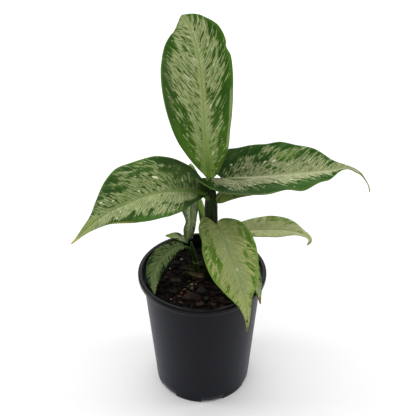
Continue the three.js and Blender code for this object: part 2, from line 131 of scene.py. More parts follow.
class Finish:
    # a material and the few ways in which its nodes are added
    def __init__(self, name, **uniform):
        self.material = bpy.data.materials.new(name)
        self.material.use_nodes = True
        self.nodes = self.material.node_tree.nodes
        self.links = self.material.node_tree.links
        self.surface = self.nodes["Principled BSDF"]
        for socket, value in uniform.items():
            self.put(self.surface.inputs[socket.replace("_", " ")], value)

    def put(self, socket, value):
        # value: another socket, a number, a vector or a written colour
        if isinstance(value, Flow):
            self.links.new(value.socket, socket)
        else:
            socket.default_value = linear(value) if isinstance(value, str) else value

    def node(self, kind, settings=None, sockets=None, output=0):
        made = self.nodes.new(kind)
        for key, value in (settings or {}).items():
            if key == "stops":
                ramp = made.color_ramp
                while len(ramp.elements) < len(value):
                    ramp.elements.new(1.0)
                for element, (place, colour) in zip(ramp.elements, value):
                    element.position = place
                    element.color = colour
            else:
                setattr(made, key, value)
        for key, value in (sockets or {}).items():
            self.put(made.inputs[key], value)
        return Flow(self, made.outputs[output])

    def math(self, operation, *values, clamp=False):
        settings = {"operation": operation, "use_clamp": clamp}
        return self.node("ShaderNodeMath", settings, dict(enumerate(values)))

    def step(self, value, low, high):
        # 0 under low, 1 over high, and smooth between them
        settings = {"interpolation_type": "SMOOTHSTEP"}
        sockets = {"Value": value, "From Min": low, "From Max": high}
        return self.node("ShaderNodeMapRange", settings, sockets)

    def mix(self, share, first, second):
        return self.node("ShaderNodeMix", {"data_type": "RGBA"}, {0: share, 6: first, 7: second}, 2)

    def tones(self, value, colours):
        # a ramp of colours over the value
        stops = [(place, linear(shade)) for place, shade in colours]
        return self.node("ShaderNodeValToRGB", {"stops": stops}, {0: value})

    def attribute(self, name):
        made = self.node("ShaderNodeAttribute", {"attribute_name": name}, output="Vector")
        return [self.node("ShaderNodeSeparateXYZ", sockets={0: made}, output=k) for k in range(3)]

    def place(self):
        # the piece's own Object coordinates, in metres
        made = self.node("ShaderNodeTexCoord", output="Object")
        return made, [self.node("ShaderNodeSeparateXYZ", sockets={0: made}, output=k) for k in range(3)]

    def vector(self, x, y, z):
        return self.node("ShaderNodeCombineXYZ", sockets={0: x, 1: y, 2: z})

    def noise(self, vector, scale, detail, rough):
        sockets = {"Vector": vector, "Scale": scale, "Detail": detail, "Roughness": rough}
        return self.node("ShaderNodeTexNoise", {}, sockets, "Fac")

    def bump(self, height, strength, distance):
        sockets = {"Height": height, "Strength": strength, "Distance": distance}
        self.put(self.surface.inputs["Normal"], self.node("ShaderNodeBump", {}, sockets))

    def colour(self, value):
        self.put(self.surface.inputs["Base Color"], value)

    def roughness(self, value):
        self.put(self.surface.inputs["Roughness"], value)


floorFinish = Finish("paleFloor", Roughness=0.9, Base_Color=studio["floor"])
reach = studio["floorSize"] / 2
corners = [(-reach, -reach, 0), (reach, -reach, 0), (reach, reach, 0), (-reach, reach, 0)]
floorMesh = bpy.data.meshes.new("floor")
floorMesh.from_pydata(corners, [], [(0, 1, 2, 3)])
floorMesh.materials.append(floorFinish.material)
floor = bpy.data.objects.new("floor", floorMesh)
bpy.context.scene.collection.objects.link(floor)


def unit(vectors):
    # vectors divided by their lengths
    return vectors / np.maximum(np.linalg.norm(vectors, axis=-1, keepdims=True), nothing)


def smoothCurve(points, count=400):
    # a centripetal Catmull-Rom curve: each span is a cubic whose end slopes come from the neighbours,
    # weighed by the square root of the distances between the points
    given = np.asarray(points, float)
    last = len(given) - 1
    place = np.linspace(0, 1, count) * last
    span = np.minimum(place.astype(int), last - 1)
    share = (place - span)[:, None]
    padded = np.vstack([2 * given[0] - given[1], given, 2 * given[-1] - given[-2]])
    before, start, end, after = (padded[span + k] for k in range(4))
    gaps = [np.maximum(np.linalg.norm(b - a, axis=1, keepdims=True) ** 0.5, closest)
            for a, b in ((before, start), (start, end), (end, after))]
    slopeStart = (start - before) / gaps[0] - (end - before) / (gaps[0] + gaps[1]) + (end - start) / gaps[1]
    slopeEnd = (end - start) / gaps[1] - (after - start) / (gaps[1] + gaps[2]) + (after - end) / gaps[2]
    slopeStart, slopeEnd = slopeStart * gaps[1], slopeEnd * gaps[1]
    return (start + slopeStart * share + (3 * (end - start) - 2 * slopeStart - slopeEnd) * share ** 2
            + (2 * (start - end) + slopeStart + slopeEnd) * share ** 3)


def arcLengths(curve):
    # how far along a sampled curve each of its points is
    return np.concatenate([[0], np.cumsum(np.linalg.norm(np.diff(curve, axis=0), axis=1))])


def curveAt(curve, lengths):
    # points at these lengths along a sampled curve, which runs straight on past its ends
    arcs = arcLengths(curve)
    points = np.stack([np.interp(lengths, arcs, curve[:, k]) for k in range(3)], -1)
    before = np.minimum(lengths, 0)[..., None] * unit(curve[1] - curve[0])
    after = np.maximum(lengths - arcs[-1], 0)[..., None] * unit(curve[-1] - curve[-2])
    return points + before + after


def spread(values, share):
    # values spread evenly over shares from 0 to 1, and what lies between them
    return np.interp(share, np.linspace(0, 1, len(values)), values)


def ringFaces(rings, sides):
    # quads between rings of points that close on themselves
    ring, side = np.meshgrid(np.arange(rings - 1), np.arange(sides), indexing="ij")
    a = ring * sides + side
    b = ring * sides + (side + 1) % sides
    return np.stack([a, b, b + sides, a + sides], -1).reshape(-1, 4).tolist()


def tubeFaces(rings, sides):
    # the same with a fan at each end, about two middle points that come after the rings' points
    low, high, start = rings * sides, rings * sides + 1, (rings - 1) * sides
    lowFan = [(low, (k + 1) % sides, k) for k in range(sides)]
    highFan = [(high, start + k, start + (k + 1) % sides) for k in range(sides)]
    return ringFaces(rings, sides) + lowFan + highFan


def closedTube(rings):
    # rings of points as a closed skin, with a middle point at each end and no attributes yet
    points = np.vstack([rings.reshape(-1, 3), rings[0].mean(0), rings[-1].mean(0)])
    return points, tubeFaces(*rings.shape[:2]), {}


def volumeOf(points, faces):
    # a sixth of the triple product of each triangle's corners, added up; a quad counts as two
    total = 0.0
    for size in (3, 4):
        these = np.array([f for f in faces if len(f) == size], int)
        for k in range(1, size - 1):
            if len(these):
                a, b, c = points[these[:, 0]], points[these[:, k]], points[these[:, k + 1]]
                total += np.einsum("ij,ij->", a, np.cross(b, c)) / 6
    return total


def facedOut(points, faces):
    # faces turned round where the volume in them comes out negative
    return faces if volumeOf(points, faces) > 0 else [tuple(f)[::-1] for f in faces]


def pieceName(node):
    # a node's name in camelCase
    first, *rest = node.split("_")
    return first + "".join(word.capitalize() for word in rest)


def addPiece(name, shells, finish, nodes=()):
    # shells: (points, faces, {attribute: three numbers a point}) of closed skins that make one piece
    points, faces, offset = [], [], 0
    attributes = {}
    for shellPoints, shellFaces, extra in shells:
        points.append(shellPoints)
        faces += [tuple(k + offset for k in f) for f in facedOut(shellPoints, shellFaces)]
        offset += len(shellPoints)
        for key, values in extra.items():
            attributes.setdefault(key, []).append(values)
    mesh = bpy.data.meshes.new(name)
    mesh.from_pydata((np.vstack(points) * mm).tolist(), [], faces)
    for key, values in attributes.items():
        layer = mesh.attributes.new(key, "FLOAT_VECTOR", "POINT")
        layer.data.foreach_set("vector", np.vstack(values).astype(np.float32).ravel())
    mesh.materials.append(finish.material)
    mesh.polygons.foreach_set("use_smooth", [True] * len(mesh.polygons))
    piece = bpy.data.objects.new(name, mesh)
    bpy.context.scene.collection.objects.link(piece)
    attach(piece, "root")
    if nodes:
        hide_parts(*nodes)


def stalkRings(points, radii, sides, steps, flat=1.0, up=(0, 1, 0)):
    # rings square to a smooth curve: radius spread along it, squeezed by flat across the direction up
    curve = smoothCurve(points)
    total = arcLengths(curve)[-1]
    lengths = np.linspace(0, total, steps)
    centre = curveAt(curve, lengths)
    tangent = unit(curveAt(curve, lengths + 0.5) - curveAt(curve, lengths - 0.5))
    up = np.asarray(up, float)
    tall = unit(up - (tangent @ up)[:, None] * tangent)
    wide = np.cross(tangent, tall)
    radius = spread(radii, lengths / total)[:, None, None]
    angle = np.linspace(0, 2 * np.pi, sides, endpoint=False)[None, :, None]
    return centre[:, None] + radius * (flat * np.cos(angle) * wide[:, None] + np.sin(angle) * tall[:, None])


print("leaves")

leafForm = {
    "rowSpread": 1.05,  # power that sets a blade's rows closer at its base
    "marginBend": 1.15,  # power by which a row bends forward on its way to the margin
    "waveRise": 2.2,  # power that keeps the waves near the margin
    "waveEnd": 1.05,
    "veinSweep": 0.25,
    "lobePlace": 0.05,
    "lookAround": 0.5,  # how far to each side a direction along the midrib is taken
    "veinSpacing": 7.5,
    "veinTurn": (0.02, 0.3),  # share before the base where the veins' slope starts to turn, and its span
    "veinRounds": 14,
    "quiltEdge": 0.7,  # power that keeps the quilting off the margin
    "quiltClear": 6,  # where the quilting is at full depth, out from the midrib
    "quiltEnd": 6,  # how fast the quilting fades towards the tip
    "ribWidth": 1.4,
    "ribDepth": 1.6,  # depth of the groove over the midrib, as a multiple of the veins' depth
    "ribEnd": 4,
    "edgeThinning": 0.3,
    "underRelief": 0.8,
    "smallWidth": 20,  # half width under which a leaf counts as small
    "keelStations": (0.16, 0.4, 0.68),
    "keelDrop": 0.7,
    "keelRadius": 1.1,
    "keelTaper": (1, 0.8, 0.41),
    "petioleTaper": (1.6, 1.15, 0.95),
    "petioleGrid": (16, 90),
    "wingGrid": (40, 60),
    "wingFlatness": 0.12,
    "wingSpread": (0, 0.8, 0.6),
    "stalkSpan": (60, 12),  # what a petiole counts as long and wide in the patterns
}
# rows from base to tip and columns in half a blade, thickness, and how deep the side veins are pressed in
bladeGrades = {
    "large": {"rows": 190, "columns": 26, "thickness": 0.9, "veinDepth": 0.25},
    "small": {"rows": 100, "columns": 14, "thickness": 0.9, "veinDepth": 0.08},
    "sheath": {"rows": 40, "columns": 8, "thickness": 0.7, "veinDepth": 0.1},
}

# midrib, petiole and wing: points along them; outline: share of the blade from base to tip, left and right
# half width; faces: where the upper face looks; folds and curls: degrees for the left and right half, and
# in these three one number does for both halves; lobes: how far the left and right basal lobe reach back;
# tail: share of the blade in its drip tip; waves: right half or not, height, number, start
commonShape = {"curls": [0], "lobes": (0, 0), "tail": 0.12, "waves": [], "stalkRadius": 2.1}
leafShapes = {
    "leaf_top": {
        "midrib": [(8, 8.6, 256), (4, 17.5, 298), (1, 33, 343), (-4, 47, 380), (-12, 57, 402),
                   (-19, 60, 411)],
        "outline": [(0, 1), (0.06, 6.5, 10.5), (0.12, 14, 16), (0.2, 22), (0.3, 30.5, 25),
                    (0.45, 37.5, 28.5), (0.6, 39.5, 31), (0.7, 38.5, 31.5), (0.73, 37.6, 31),
                    (0.765, 36.2, 28.4), (0.8, 34.5, 29.2), (0.87, 29, 26.4), (0.93, 20, 17), (0.97, 11, 8),
                    (1, 0.6)],
        "faces": [(0, -1, 0.3), (0, -1, 0.35), (0, -1, 0.35)], "folds": [20, 12, (6, 8)],
        "curls": [(-12, -8), (-14, -16), -18], "tail": 0.03,
        "waves": [(1, 1.6, 4.6, 0.2), (0, 1.2, 3, 0.4)],
        "petiole": [(9.4, 4.5, 240), (9, 7.8, 250), (8, 9.8, 258)], "stalkRadius": 2.6,
    },
    "leaf_left": {
        "midrib": [(2, -5, 249), (-20, -12, 257), (-51, -20, 257), (-75, -27, 250), (-93, -32, 243),
                   (-111, -36, 230), (-130, -38, 211)],
        "outline": [(0, 1), (0.03, 1.6, 7), (0.06, 2.4, 13), (0.12, 12.6, 25), (0.16, 20.5, 30.5),
                    (0.2, 26.5, 35), (0.25, 31, 38.5), (0.3, 34, 41), (0.4, 35, 41.5), (0.5, 30, 41),
                    (0.6, 23.3, 34), (0.7, 14.2, 20.5), (0.8, 7.5, 7.8), (0.9, 4, 2.8), (1, 0.6)],
        "faces": [(-0.1, -0.5, 1), (-0.3, -0.5, 1), (-0.6, -0.5, 1)], "folds": [(16, 20), (20, 18), 14],
        "curls": [-14, -16, -14], "lobes": (12, 12), "tail": 0.2,
        "waves": [(0, 1.2, 3.4, 0.1), (1, 1.4, 3, 0.6)],
        "petiole": [(8.5, 3.5, 238), (5, -0.5, 243), (2.3, -4.5, 248)],
    },
    "leaf_right": {
        "midrib": [(20, 4, 262), (36, 6, 259.5), (58, 8, 261), (101, 16, 261), (132, 22, 261),
                   (153, 26, 261), (164, 29, 254), (171, 30, 246), (176, 30, 238), (178, 29, 231)],
        "outline": [(0, 1), (0.02, 9, 2), (0.045, 20, 3), (0.06, 26, 7), (0.08, 31, 15), (0.1, 35, 22),
                    (0.12, 38, 27), (0.2, 39.3, 28.5), (0.3, 38.5, 30), (0.4, 42, 31), (0.5, 34, 27.5),
                    (0.6, 26, 17), (0.7, 10.5, 5.5), (0.78, 2.4, 2.2), (0.88, 1.2), (1, 0.6)],
        "faces": [(0, -0.2, 1), (0.1, -0.2, 1), (0.3, -0.2, 1)], "folds": [(22, 10), (20, 18), (20, 16)],
        "curls": [-8, -10, -10], "lobes": (16, 35), "tail": 0.25,
        "waves": [(1, 2.2, 5.2, 0.5), (0, 1.4, 3.5, 0.3)],
        "petiole": [(10, 3.6, 232), (17, 3.2, 242), (24, 4.1, 250), (34, 6, 256.9)], "stalkRadius": 1.8,
        "wing": {
            "points": [(13, 5.5, 235.5), (19, 1.6, 240.6), (26, -1.2, 246.2), (38, -1.2, 251.6),
                       (52, 0.6, 253.6), (65, 4.4, 255), (78, 10.5, 257.8)],
            "radii": [3.5, 7, 7.6, 8.4, 8.4, 6.6, 3.8, 1.2],
        },
    },
    "leaf_front": {
        "midrib": [(15, -12, 217), (23, -24, 206), (28, -37, 196), (36, -50, 182), (41, -62, 169),
                   (44, -74, 161), (45, -82, 152), (45, -86, 138)],
        "outline": [(0, 1), (0.03, 7.5, 7), (0.06, 15, 12), (0.09, 21, 16.5), (0.12, 25, 20), (0.2, 29, 25),
                    (0.3, 30, 26), (0.4, 28, 26), (0.5, 22.6, 24), (0.6, 17.2, 19), (0.7, 8.5, 12.3),
                    (0.8, 4.5, 5.8), (0.9, 2.4, 1.8), (1, 0.6)],
        "faces": [(0, -0.5, 1), (0.1, -0.7, 1), (0.1, -1, 0.3)], "folds": [10, 6, 10],
        "curls": [-20, -20, -10], "lobes": (7.5, 17), "tail": 0.2,
        "petiole": [(10, 2, 172), (12, -6, 192), (13.5, -11.5, 207), (15.5, -14, 214.5)],
    },
    "leaf_small": {
        "midrib": [(36, 8, 195), (62, 8, 196), (87, 6, 197), (103, 4, 195), (112, 3, 191), (115, 1, 187),
                   (112, 0, 182)],
        "outline": [(0, 1), (0.06, 7), (0.12, 10.5, 10), (0.2, 13.2, 12), (0.4, 16.5, 13), (0.5, 16, 13),
                    (0.6, 14.5, 10), (0.7, 11, 6), (0.8, 5.5, 4), (0.9, 2.8), (1, 0.6)],
        "faces": [(0, -0.3, 1), (0.1, -0.3, 1), (0.3, -0.3, 1)], "folds": [26, 24, 16],
        "curls": [-14, -16, -10], "lobes": (5, 5),
        "petiole": [(10, 5, 160), (19, 6, 176), (27, 7.5, 188), (37, 8, 193.6)], "stalkRadius": 1.7,
    },
    "leaf_behind": {
        "midrib": [(30, -8, 190), (42, -18, 184), (52, -29, 169), (58, -38, 154), (61, -45, 139)],
        "outline": [(0, 1), (0.1, 6), (0.25, 10), (0.45, 11), (0.65, 8.5), (0.8, 5), (0.9, 2.6), (1, 0.6)],
        "faces": [(0.2, -0.3, 1), (0.4, -0.4, 0.8), (0.6, -0.5, 0.3)], "folds": [18, 14, 10],
        "curls": [-16, -16, -16], "lobes": (3, 3),
        "petiole": [(10, 3, 148), (18, -1, 168), (24, -4.5, 182), (31, -9, 188.6)], "stalkRadius": 1.6,
    },
    "leaf_folded": {
        "midrib": [(-13, 34, 260), (-12, 37, 240), (-13, 37, 210), (-13, 36.5, 190), (-14.5, 35.5, 174),
                   (-17, 34, 162.5), (-23, 33, 166.5), (-30, 32.5, 170.5), (-41, 31, 172.5)],
        "outline": [(0, 1), (0.08, 7), (0.2, 12), (0.38, 16.5, 12), (0.46, 16, 9), (0.52, 12.5, 7.5),
                    (0.56, 9.2, 7), (0.6, 6.8, 6.6), (0.66, 8, 6), (0.72, 7.6, 4.6), (0.77, 4.8, 4.4),
                    (0.83, 5.8, 6.8), (0.88, 5, 6.8), (0.93, 3.8, 4.4), (1, 0.6)],
        "faces": [(0.3, 1, 0.2), (0.5, 1, 0), (0.6, 1, 0), (0.2, 0.3, 1), (0, -0.5, 0.85)],
        "folds": [20, 20, 14], "curls": [-16, -20, -16], "lobes": (3, 3),
        "petiole": [(8.5, 4.5, 180), (0, 12, 202), (-4, 20, 235), (-9, 30, 260), (-12.6, 34.5, 261)],
        "stalkRadius": 1.7,
    },
    "leaf_low": {
        "midrib": [(-20, 12, 172), (-30, 12, 170), (-41, 7, 164), (-49, 0, 156), (-52, -8, 150),
                   (-52, -18, 145), (-50, -32, 141)],
        "outline": [(0, 1), (0.1, 6), (0.2, 9), (0.35, 11), (0.5, 11), (0.65, 9), (0.8, 6), (0.9, 3),
                    (1, 0.6)],
        "faces": [(-0.1, -0.6, 0.8), (-0.2, -0.7, 0.7), (-0.2, -0.7, 0.7)], "folds": [16, 14, 10],
        "curls": [-16, -20, -16], "lobes": (3, 3),
        "petiole": [(-7.5, 15.5, 150), (-12, 13.5, 165), (-16, 12, 170.3), (-21, 12, 170.7)],
        "stalkRadius": 1.7,
    },
    "leaf_young": {
        "midrib": [(1.8, -1.5, 219), (0.3, -1, 230), (-1.3, -0.5, 241)],
        "outline": [(0, 1), (0.2, 2), (0.6, 3), (0.85, 2), (1, 0.6)],
        "faces": [(-0.3, -1, 0.3), (-0.3, -1, 0.3)], "folds": [30, 25],
        "petiole": [(8, 3, 172), (0.5, 0, 190), (-2.6, -1, 206), (1, -1.4, 218)], "stalkRadius": 1.6,
    },
}


def bladeSurface(leaf, t, side):
    # t runs from petiole to tip, side from -1 at the left margin to 1 at the right. A row leaves the midrib
    # forward, as a side vein does, and ends at the margin, which the basal lobe sweeps back. The flat blade
    # is laid along the midrib curve, each half is turned up by its fold and rolled by its curl, and the
    # margin is waved by a sine.
    curve = smoothCurve(leaf["midrib"])
    length = arcLengths(curve)[-1]
    across = np.abs(side)
    right = (side > 0).astype(int)
    outward = across ** leafForm["marginBend"]
    body = 1 - leaf["tail"]
    sweep = leafForm["veinSweep"] * body * np.sin(np.pi * np.minimum(t / body, 1))
    near = t / leafForm["lobePlace"]
    lobe = np.asarray(leaf["lobes"], float)[right] * near * np.exp(1 - near)
    x = t * length - sweep * length * (1 - outward) - lobe * outward
    # the outline is smoothed as a curve, with t as percent so that its steps count as much as the widths
    outline = np.array([(100 * place, widths[0], widths[-1]) for place, *widths in leaf["outline"]])
    drawn = smoothCurve(outline, 20 * len(outline))
    leftWidth, rightWidth = (np.interp(100 * t, drawn[:, 0], drawn[:, k]) for k in (1, 2))
    width = np.where(right, rightWidth, leftWidth)
    share = np.clip(x / length, 0, 1)
    centre = curveAt(curve, x)
    tangent = unit(curveAt(curve, x + leafForm["lookAround"]) - curveAt(curve, x - leafForm["lookAround"]))
    face = np.stack([spread([f[k] for f in leaf["faces"]], share) for k in range(3)], -1)
    face = unit(face - (face * tangent).sum(-1, keepdims=True) * tangent)
    rightward = np.cross(tangent, face)

    def perHalf(key):
        # the list's value along the blade, for the half that a point is in
        left, other = (spread([np.broadcast_to(f, 2)[k] for f in leaf[key]], share) for k in (0, 1))
        return np.where(right, other, left)

    fold = np.radians(perHalf("folds"))
    curl = np.radians(perHalf("curls")) * across
    chord = width * across * np.sinc(curl / 2 / np.pi)
    out = chord * np.cos(fold + curl / 2) * np.sign(side)
    rise = chord * np.sin(fold + curl / 2)
    strength = np.sqrt(np.sin(np.pi * np.minimum(leafForm["waveEnd"] * t, 1)))
    for onRight, height, count, phase in leaf["waves"]:
        size = (right == onRight) * height * across ** leafForm["waveRise"] * strength
        rise = rise + size * np.sin(2 * np.pi * (count * t + phase))
    return centre + rightward * out[..., None] + face * rise[..., None], x, width * side, length


def veinStart(look, x, out, length):
    # where along the midrib the side vein through a point leaves it. A vein leaves at a slope of its own
    # and bends forward on its way to the margin, so its start is found by closing in on it.
    atBase, later, bend = look["veins"]
    before, after = leafForm["veinTurn"]
    out = np.abs(out)
    start = x - later * out
    for _ in range(leafForm["veinRounds"]):
        share = np.clip((start / length + before) / after, 0, 1)
        slope = atBase + (later - atBase) * share * share * (3 - 2 * share)
        start = (start + x - slope * out - bend * out * out) / 2
    return start


def bladeShell(leaf, look, rows, columns, thickness, veinDepth):
    # the blade's middle surface with a skin on each side; both are quilted between the side veins
    t = np.linspace(0, 1, rows + 1) ** leafForm["rowSpread"]
    t, side = np.meshgrid(t, np.linspace(-1, 1, 2 * columns + 1), indexing="ij")
    points, x, out, length = bladeSurface(leaf, t, side)
    ahead, aside = np.gradient(points, axis=0), np.gradient(points, axis=1)
    normal = unit(np.cross(aside, ahead))
    across = np.abs(side)
    start = veinStart(look, x, out, length)
    fade = np.sin(np.pi * across ** leafForm["quiltEdge"])
    fade = fade * np.clip(np.abs(out) / leafForm["quiltClear"], 0, 1)
    fade = fade * np.clip((1 - t) * leafForm["quiltEnd"], 0, 1)
    groove = np.exp(-(out / leafForm["ribWidth"]) ** 2) * np.clip((1 - t) * leafForm["ribEnd"], 0, 1)
    quilt = np.cos(2 * np.pi * start / leafForm["veinSpacing"]) * fade
    relief = veinDepth * (quilt - leafForm["ribDepth"] * groove)
    skin = (thickness / 2) * (1 - leafForm["edgeThinning"] * across ** 4)
    upper = points + normal * (skin + relief)[..., None]
    lower = points - normal * (skin - leafForm["underRelief"] * relief)[..., None]
    rings = np.concatenate([upper, lower[:, ::-1]], axis=1)
    count, sides = rings.shape[:2]
    faces = ringFaces(count, sides)
    end = (count - 1) * sides
    half = sides // 2
    faces += [(k + 1, k, sides - 1 - k, sides - 2 - k) for k in range(half - 1)]
    faces += [(end + k, end + k + 1, end + sides - 2 - k, end + sides - 1 - k) for k in range(half - 1)]

    def bothSkins(*values):
        # each value on the upper skin and, in the lower skin's order of points, on the lower one
        pairs = [np.concatenate([value, value[:, ::-1]], axis=1) for value in values]
        return np.stack(pairs, -1).reshape(-1, len(pairs))

    share = np.clip(x / length, 0, 1)
    reach = np.where(side > 0, spread(look["reach"][1], share), spread(look["reach"][0], share))
    # painted shade: how light the blade is painted along it, low near the base where the crown shades it,
    # carried to the finish with the tone
    shade = spread(look["shade"], share)
    place = bothSkins(t, side, np.zeros_like(t))
    place[:, 2] = np.concatenate([np.zeros_like(t), np.ones_like(t)], axis=1).ravel()
    span = bothSkins(start, out, share)
    tone = bothSkins(reach - across, shade, share)
    return rings.reshape(-1, 3), faces, {"leafPlace": place, "leafSpan": span, "leafTone": tone}


def stalkShell(rings, kind=2.0):
    # kind: 2 for a petiole and 3 for its wing; the blade has 0 on its upper face and 1 on its underside
    points, faces, _ = closedTube(rings)
    count = len(points)
    long, wide = leafForm["stalkSpan"]
    along = np.append(np.repeat(np.linspace(0, 1, rings.shape[0]), rings.shape[1]), (0, 1))
    around = np.append(np.tile(np.linspace(0, 1, rings.shape[1]), rings.shape[0]), (0, 0))
    place = np.stack([along, np.zeros(count), np.full(count, kind)], -1)
    span = np.stack([long * along, wide * around, along], -1)
    tone = np.stack([np.zeros(count), np.ones(count), along], -1)
    return points, faces, {"leafPlace": place, "leafSpan": span, "leafTone": tone}


def petioleShells(leaf):
    # the petiole runs on under the blade as a keel, and fades out along it
    stations = np.array(leafForm["keelStations"])
    middle = np.zeros(3)
    on = bladeSurface(leaf, stations, middle)[0]
    ahead = bladeSurface(leaf, stations + 0.01, middle)[0] - bladeSurface(leaf, stations - 0.01, middle)[0]
    aside = bladeSurface(leaf, stations, middle + 0.02)[0] - bladeSurface(leaf, stations, middle - 0.02)[0]
    keel = on + leafForm["keelDrop"] * leafForm["keelRadius"] * unit(np.cross(ahead, aside))
    radii = [share * leaf["stalkRadius"] for share in leafForm["petioleTaper"]]
    radii += [share * leafForm["keelRadius"] for share in leafForm["keelTaper"]]
    shells = [stalkShell(stalkRings(leaf["petiole"] + keel.tolist(), radii, *leafForm["petioleGrid"]))]
    if "wing" in leaf:
        wing = leaf["wing"]
        rings = stalkRings(wing["points"], wing["radii"], *leafForm["wingGrid"], leafForm["wingFlatness"],
                           leafForm["wingSpread"])
        shells.append(stalkShell(rings, 3.0))
    return shells


# colours, of which deep is the near-black green of painted shade; reach: how far out the pale middle goes
# in the left and right half, spread from base to tip; shade: painted shade, how light the blade is painted
# along it, lower where the plant shades it, towards the base and on low leaves, and mixed towards deep;
# veins: slope at the base, slope further on, bend;
# slope, islands, flecks, green, each for the left and right half: how sharply the pale middle ends, how
# rare dark islands and cream flecks are, how much of the pale middle is green;
# ragged, blotch: how far streaks and patches move its edge; dashes: how rare dark dashes are; grain: a
# streak's size across and along its vein; lines, rimmed, veil: strength of the lines along the veins, of
# the margin's colour, and of the underside's; baseSpan, tipStart: share of the blade where their colours
# end and start; marks: x along the midrib, y across, half size across the veins and along them;
# washes: x, y, half length, half breadth, strength and colour of a soft patch;
# edges: first and last x, half (-1 left, 1 right), start across, strength and colour of a margin's band
commonLook = {
    "dark": "#3f601c", "darkDeep": "#2d4d11", "pale": "#a8b07c", "paleGreen": "#75874a", "cream": "#d2d4aa",
    "rib": "#869a58", "base": "#57791f", "margin": "#64842f", "under": "#6c7a54", "stalk": "#41601c",
    "wing": "#5f7a2a", "brown": "#4a3318", "deep": "#0b1804", "tip": "#7f8a42", "tipStart": 2.0,
    "reach": ([0.7], [0.7]), "shade": [1, 1], "veins": (-0.3, 0.95, 0.01), "slope": (1.5, 1.5),
    "grain": (1.9, 8.5), "islands": (0.66, 0.66), "flecks": (0.79, 0.79), "green": (0, 0), "dashes": 0.62,
    "ragged": 1.0, "blotch": 1.9, "lines": 0.5, "shine": 0.12, "rimmed": 0.5, "veil": 0.55, "baseSpan": 0,
    "seed": 0.0, "marks": {}, "washes": [], "edges": [],
}
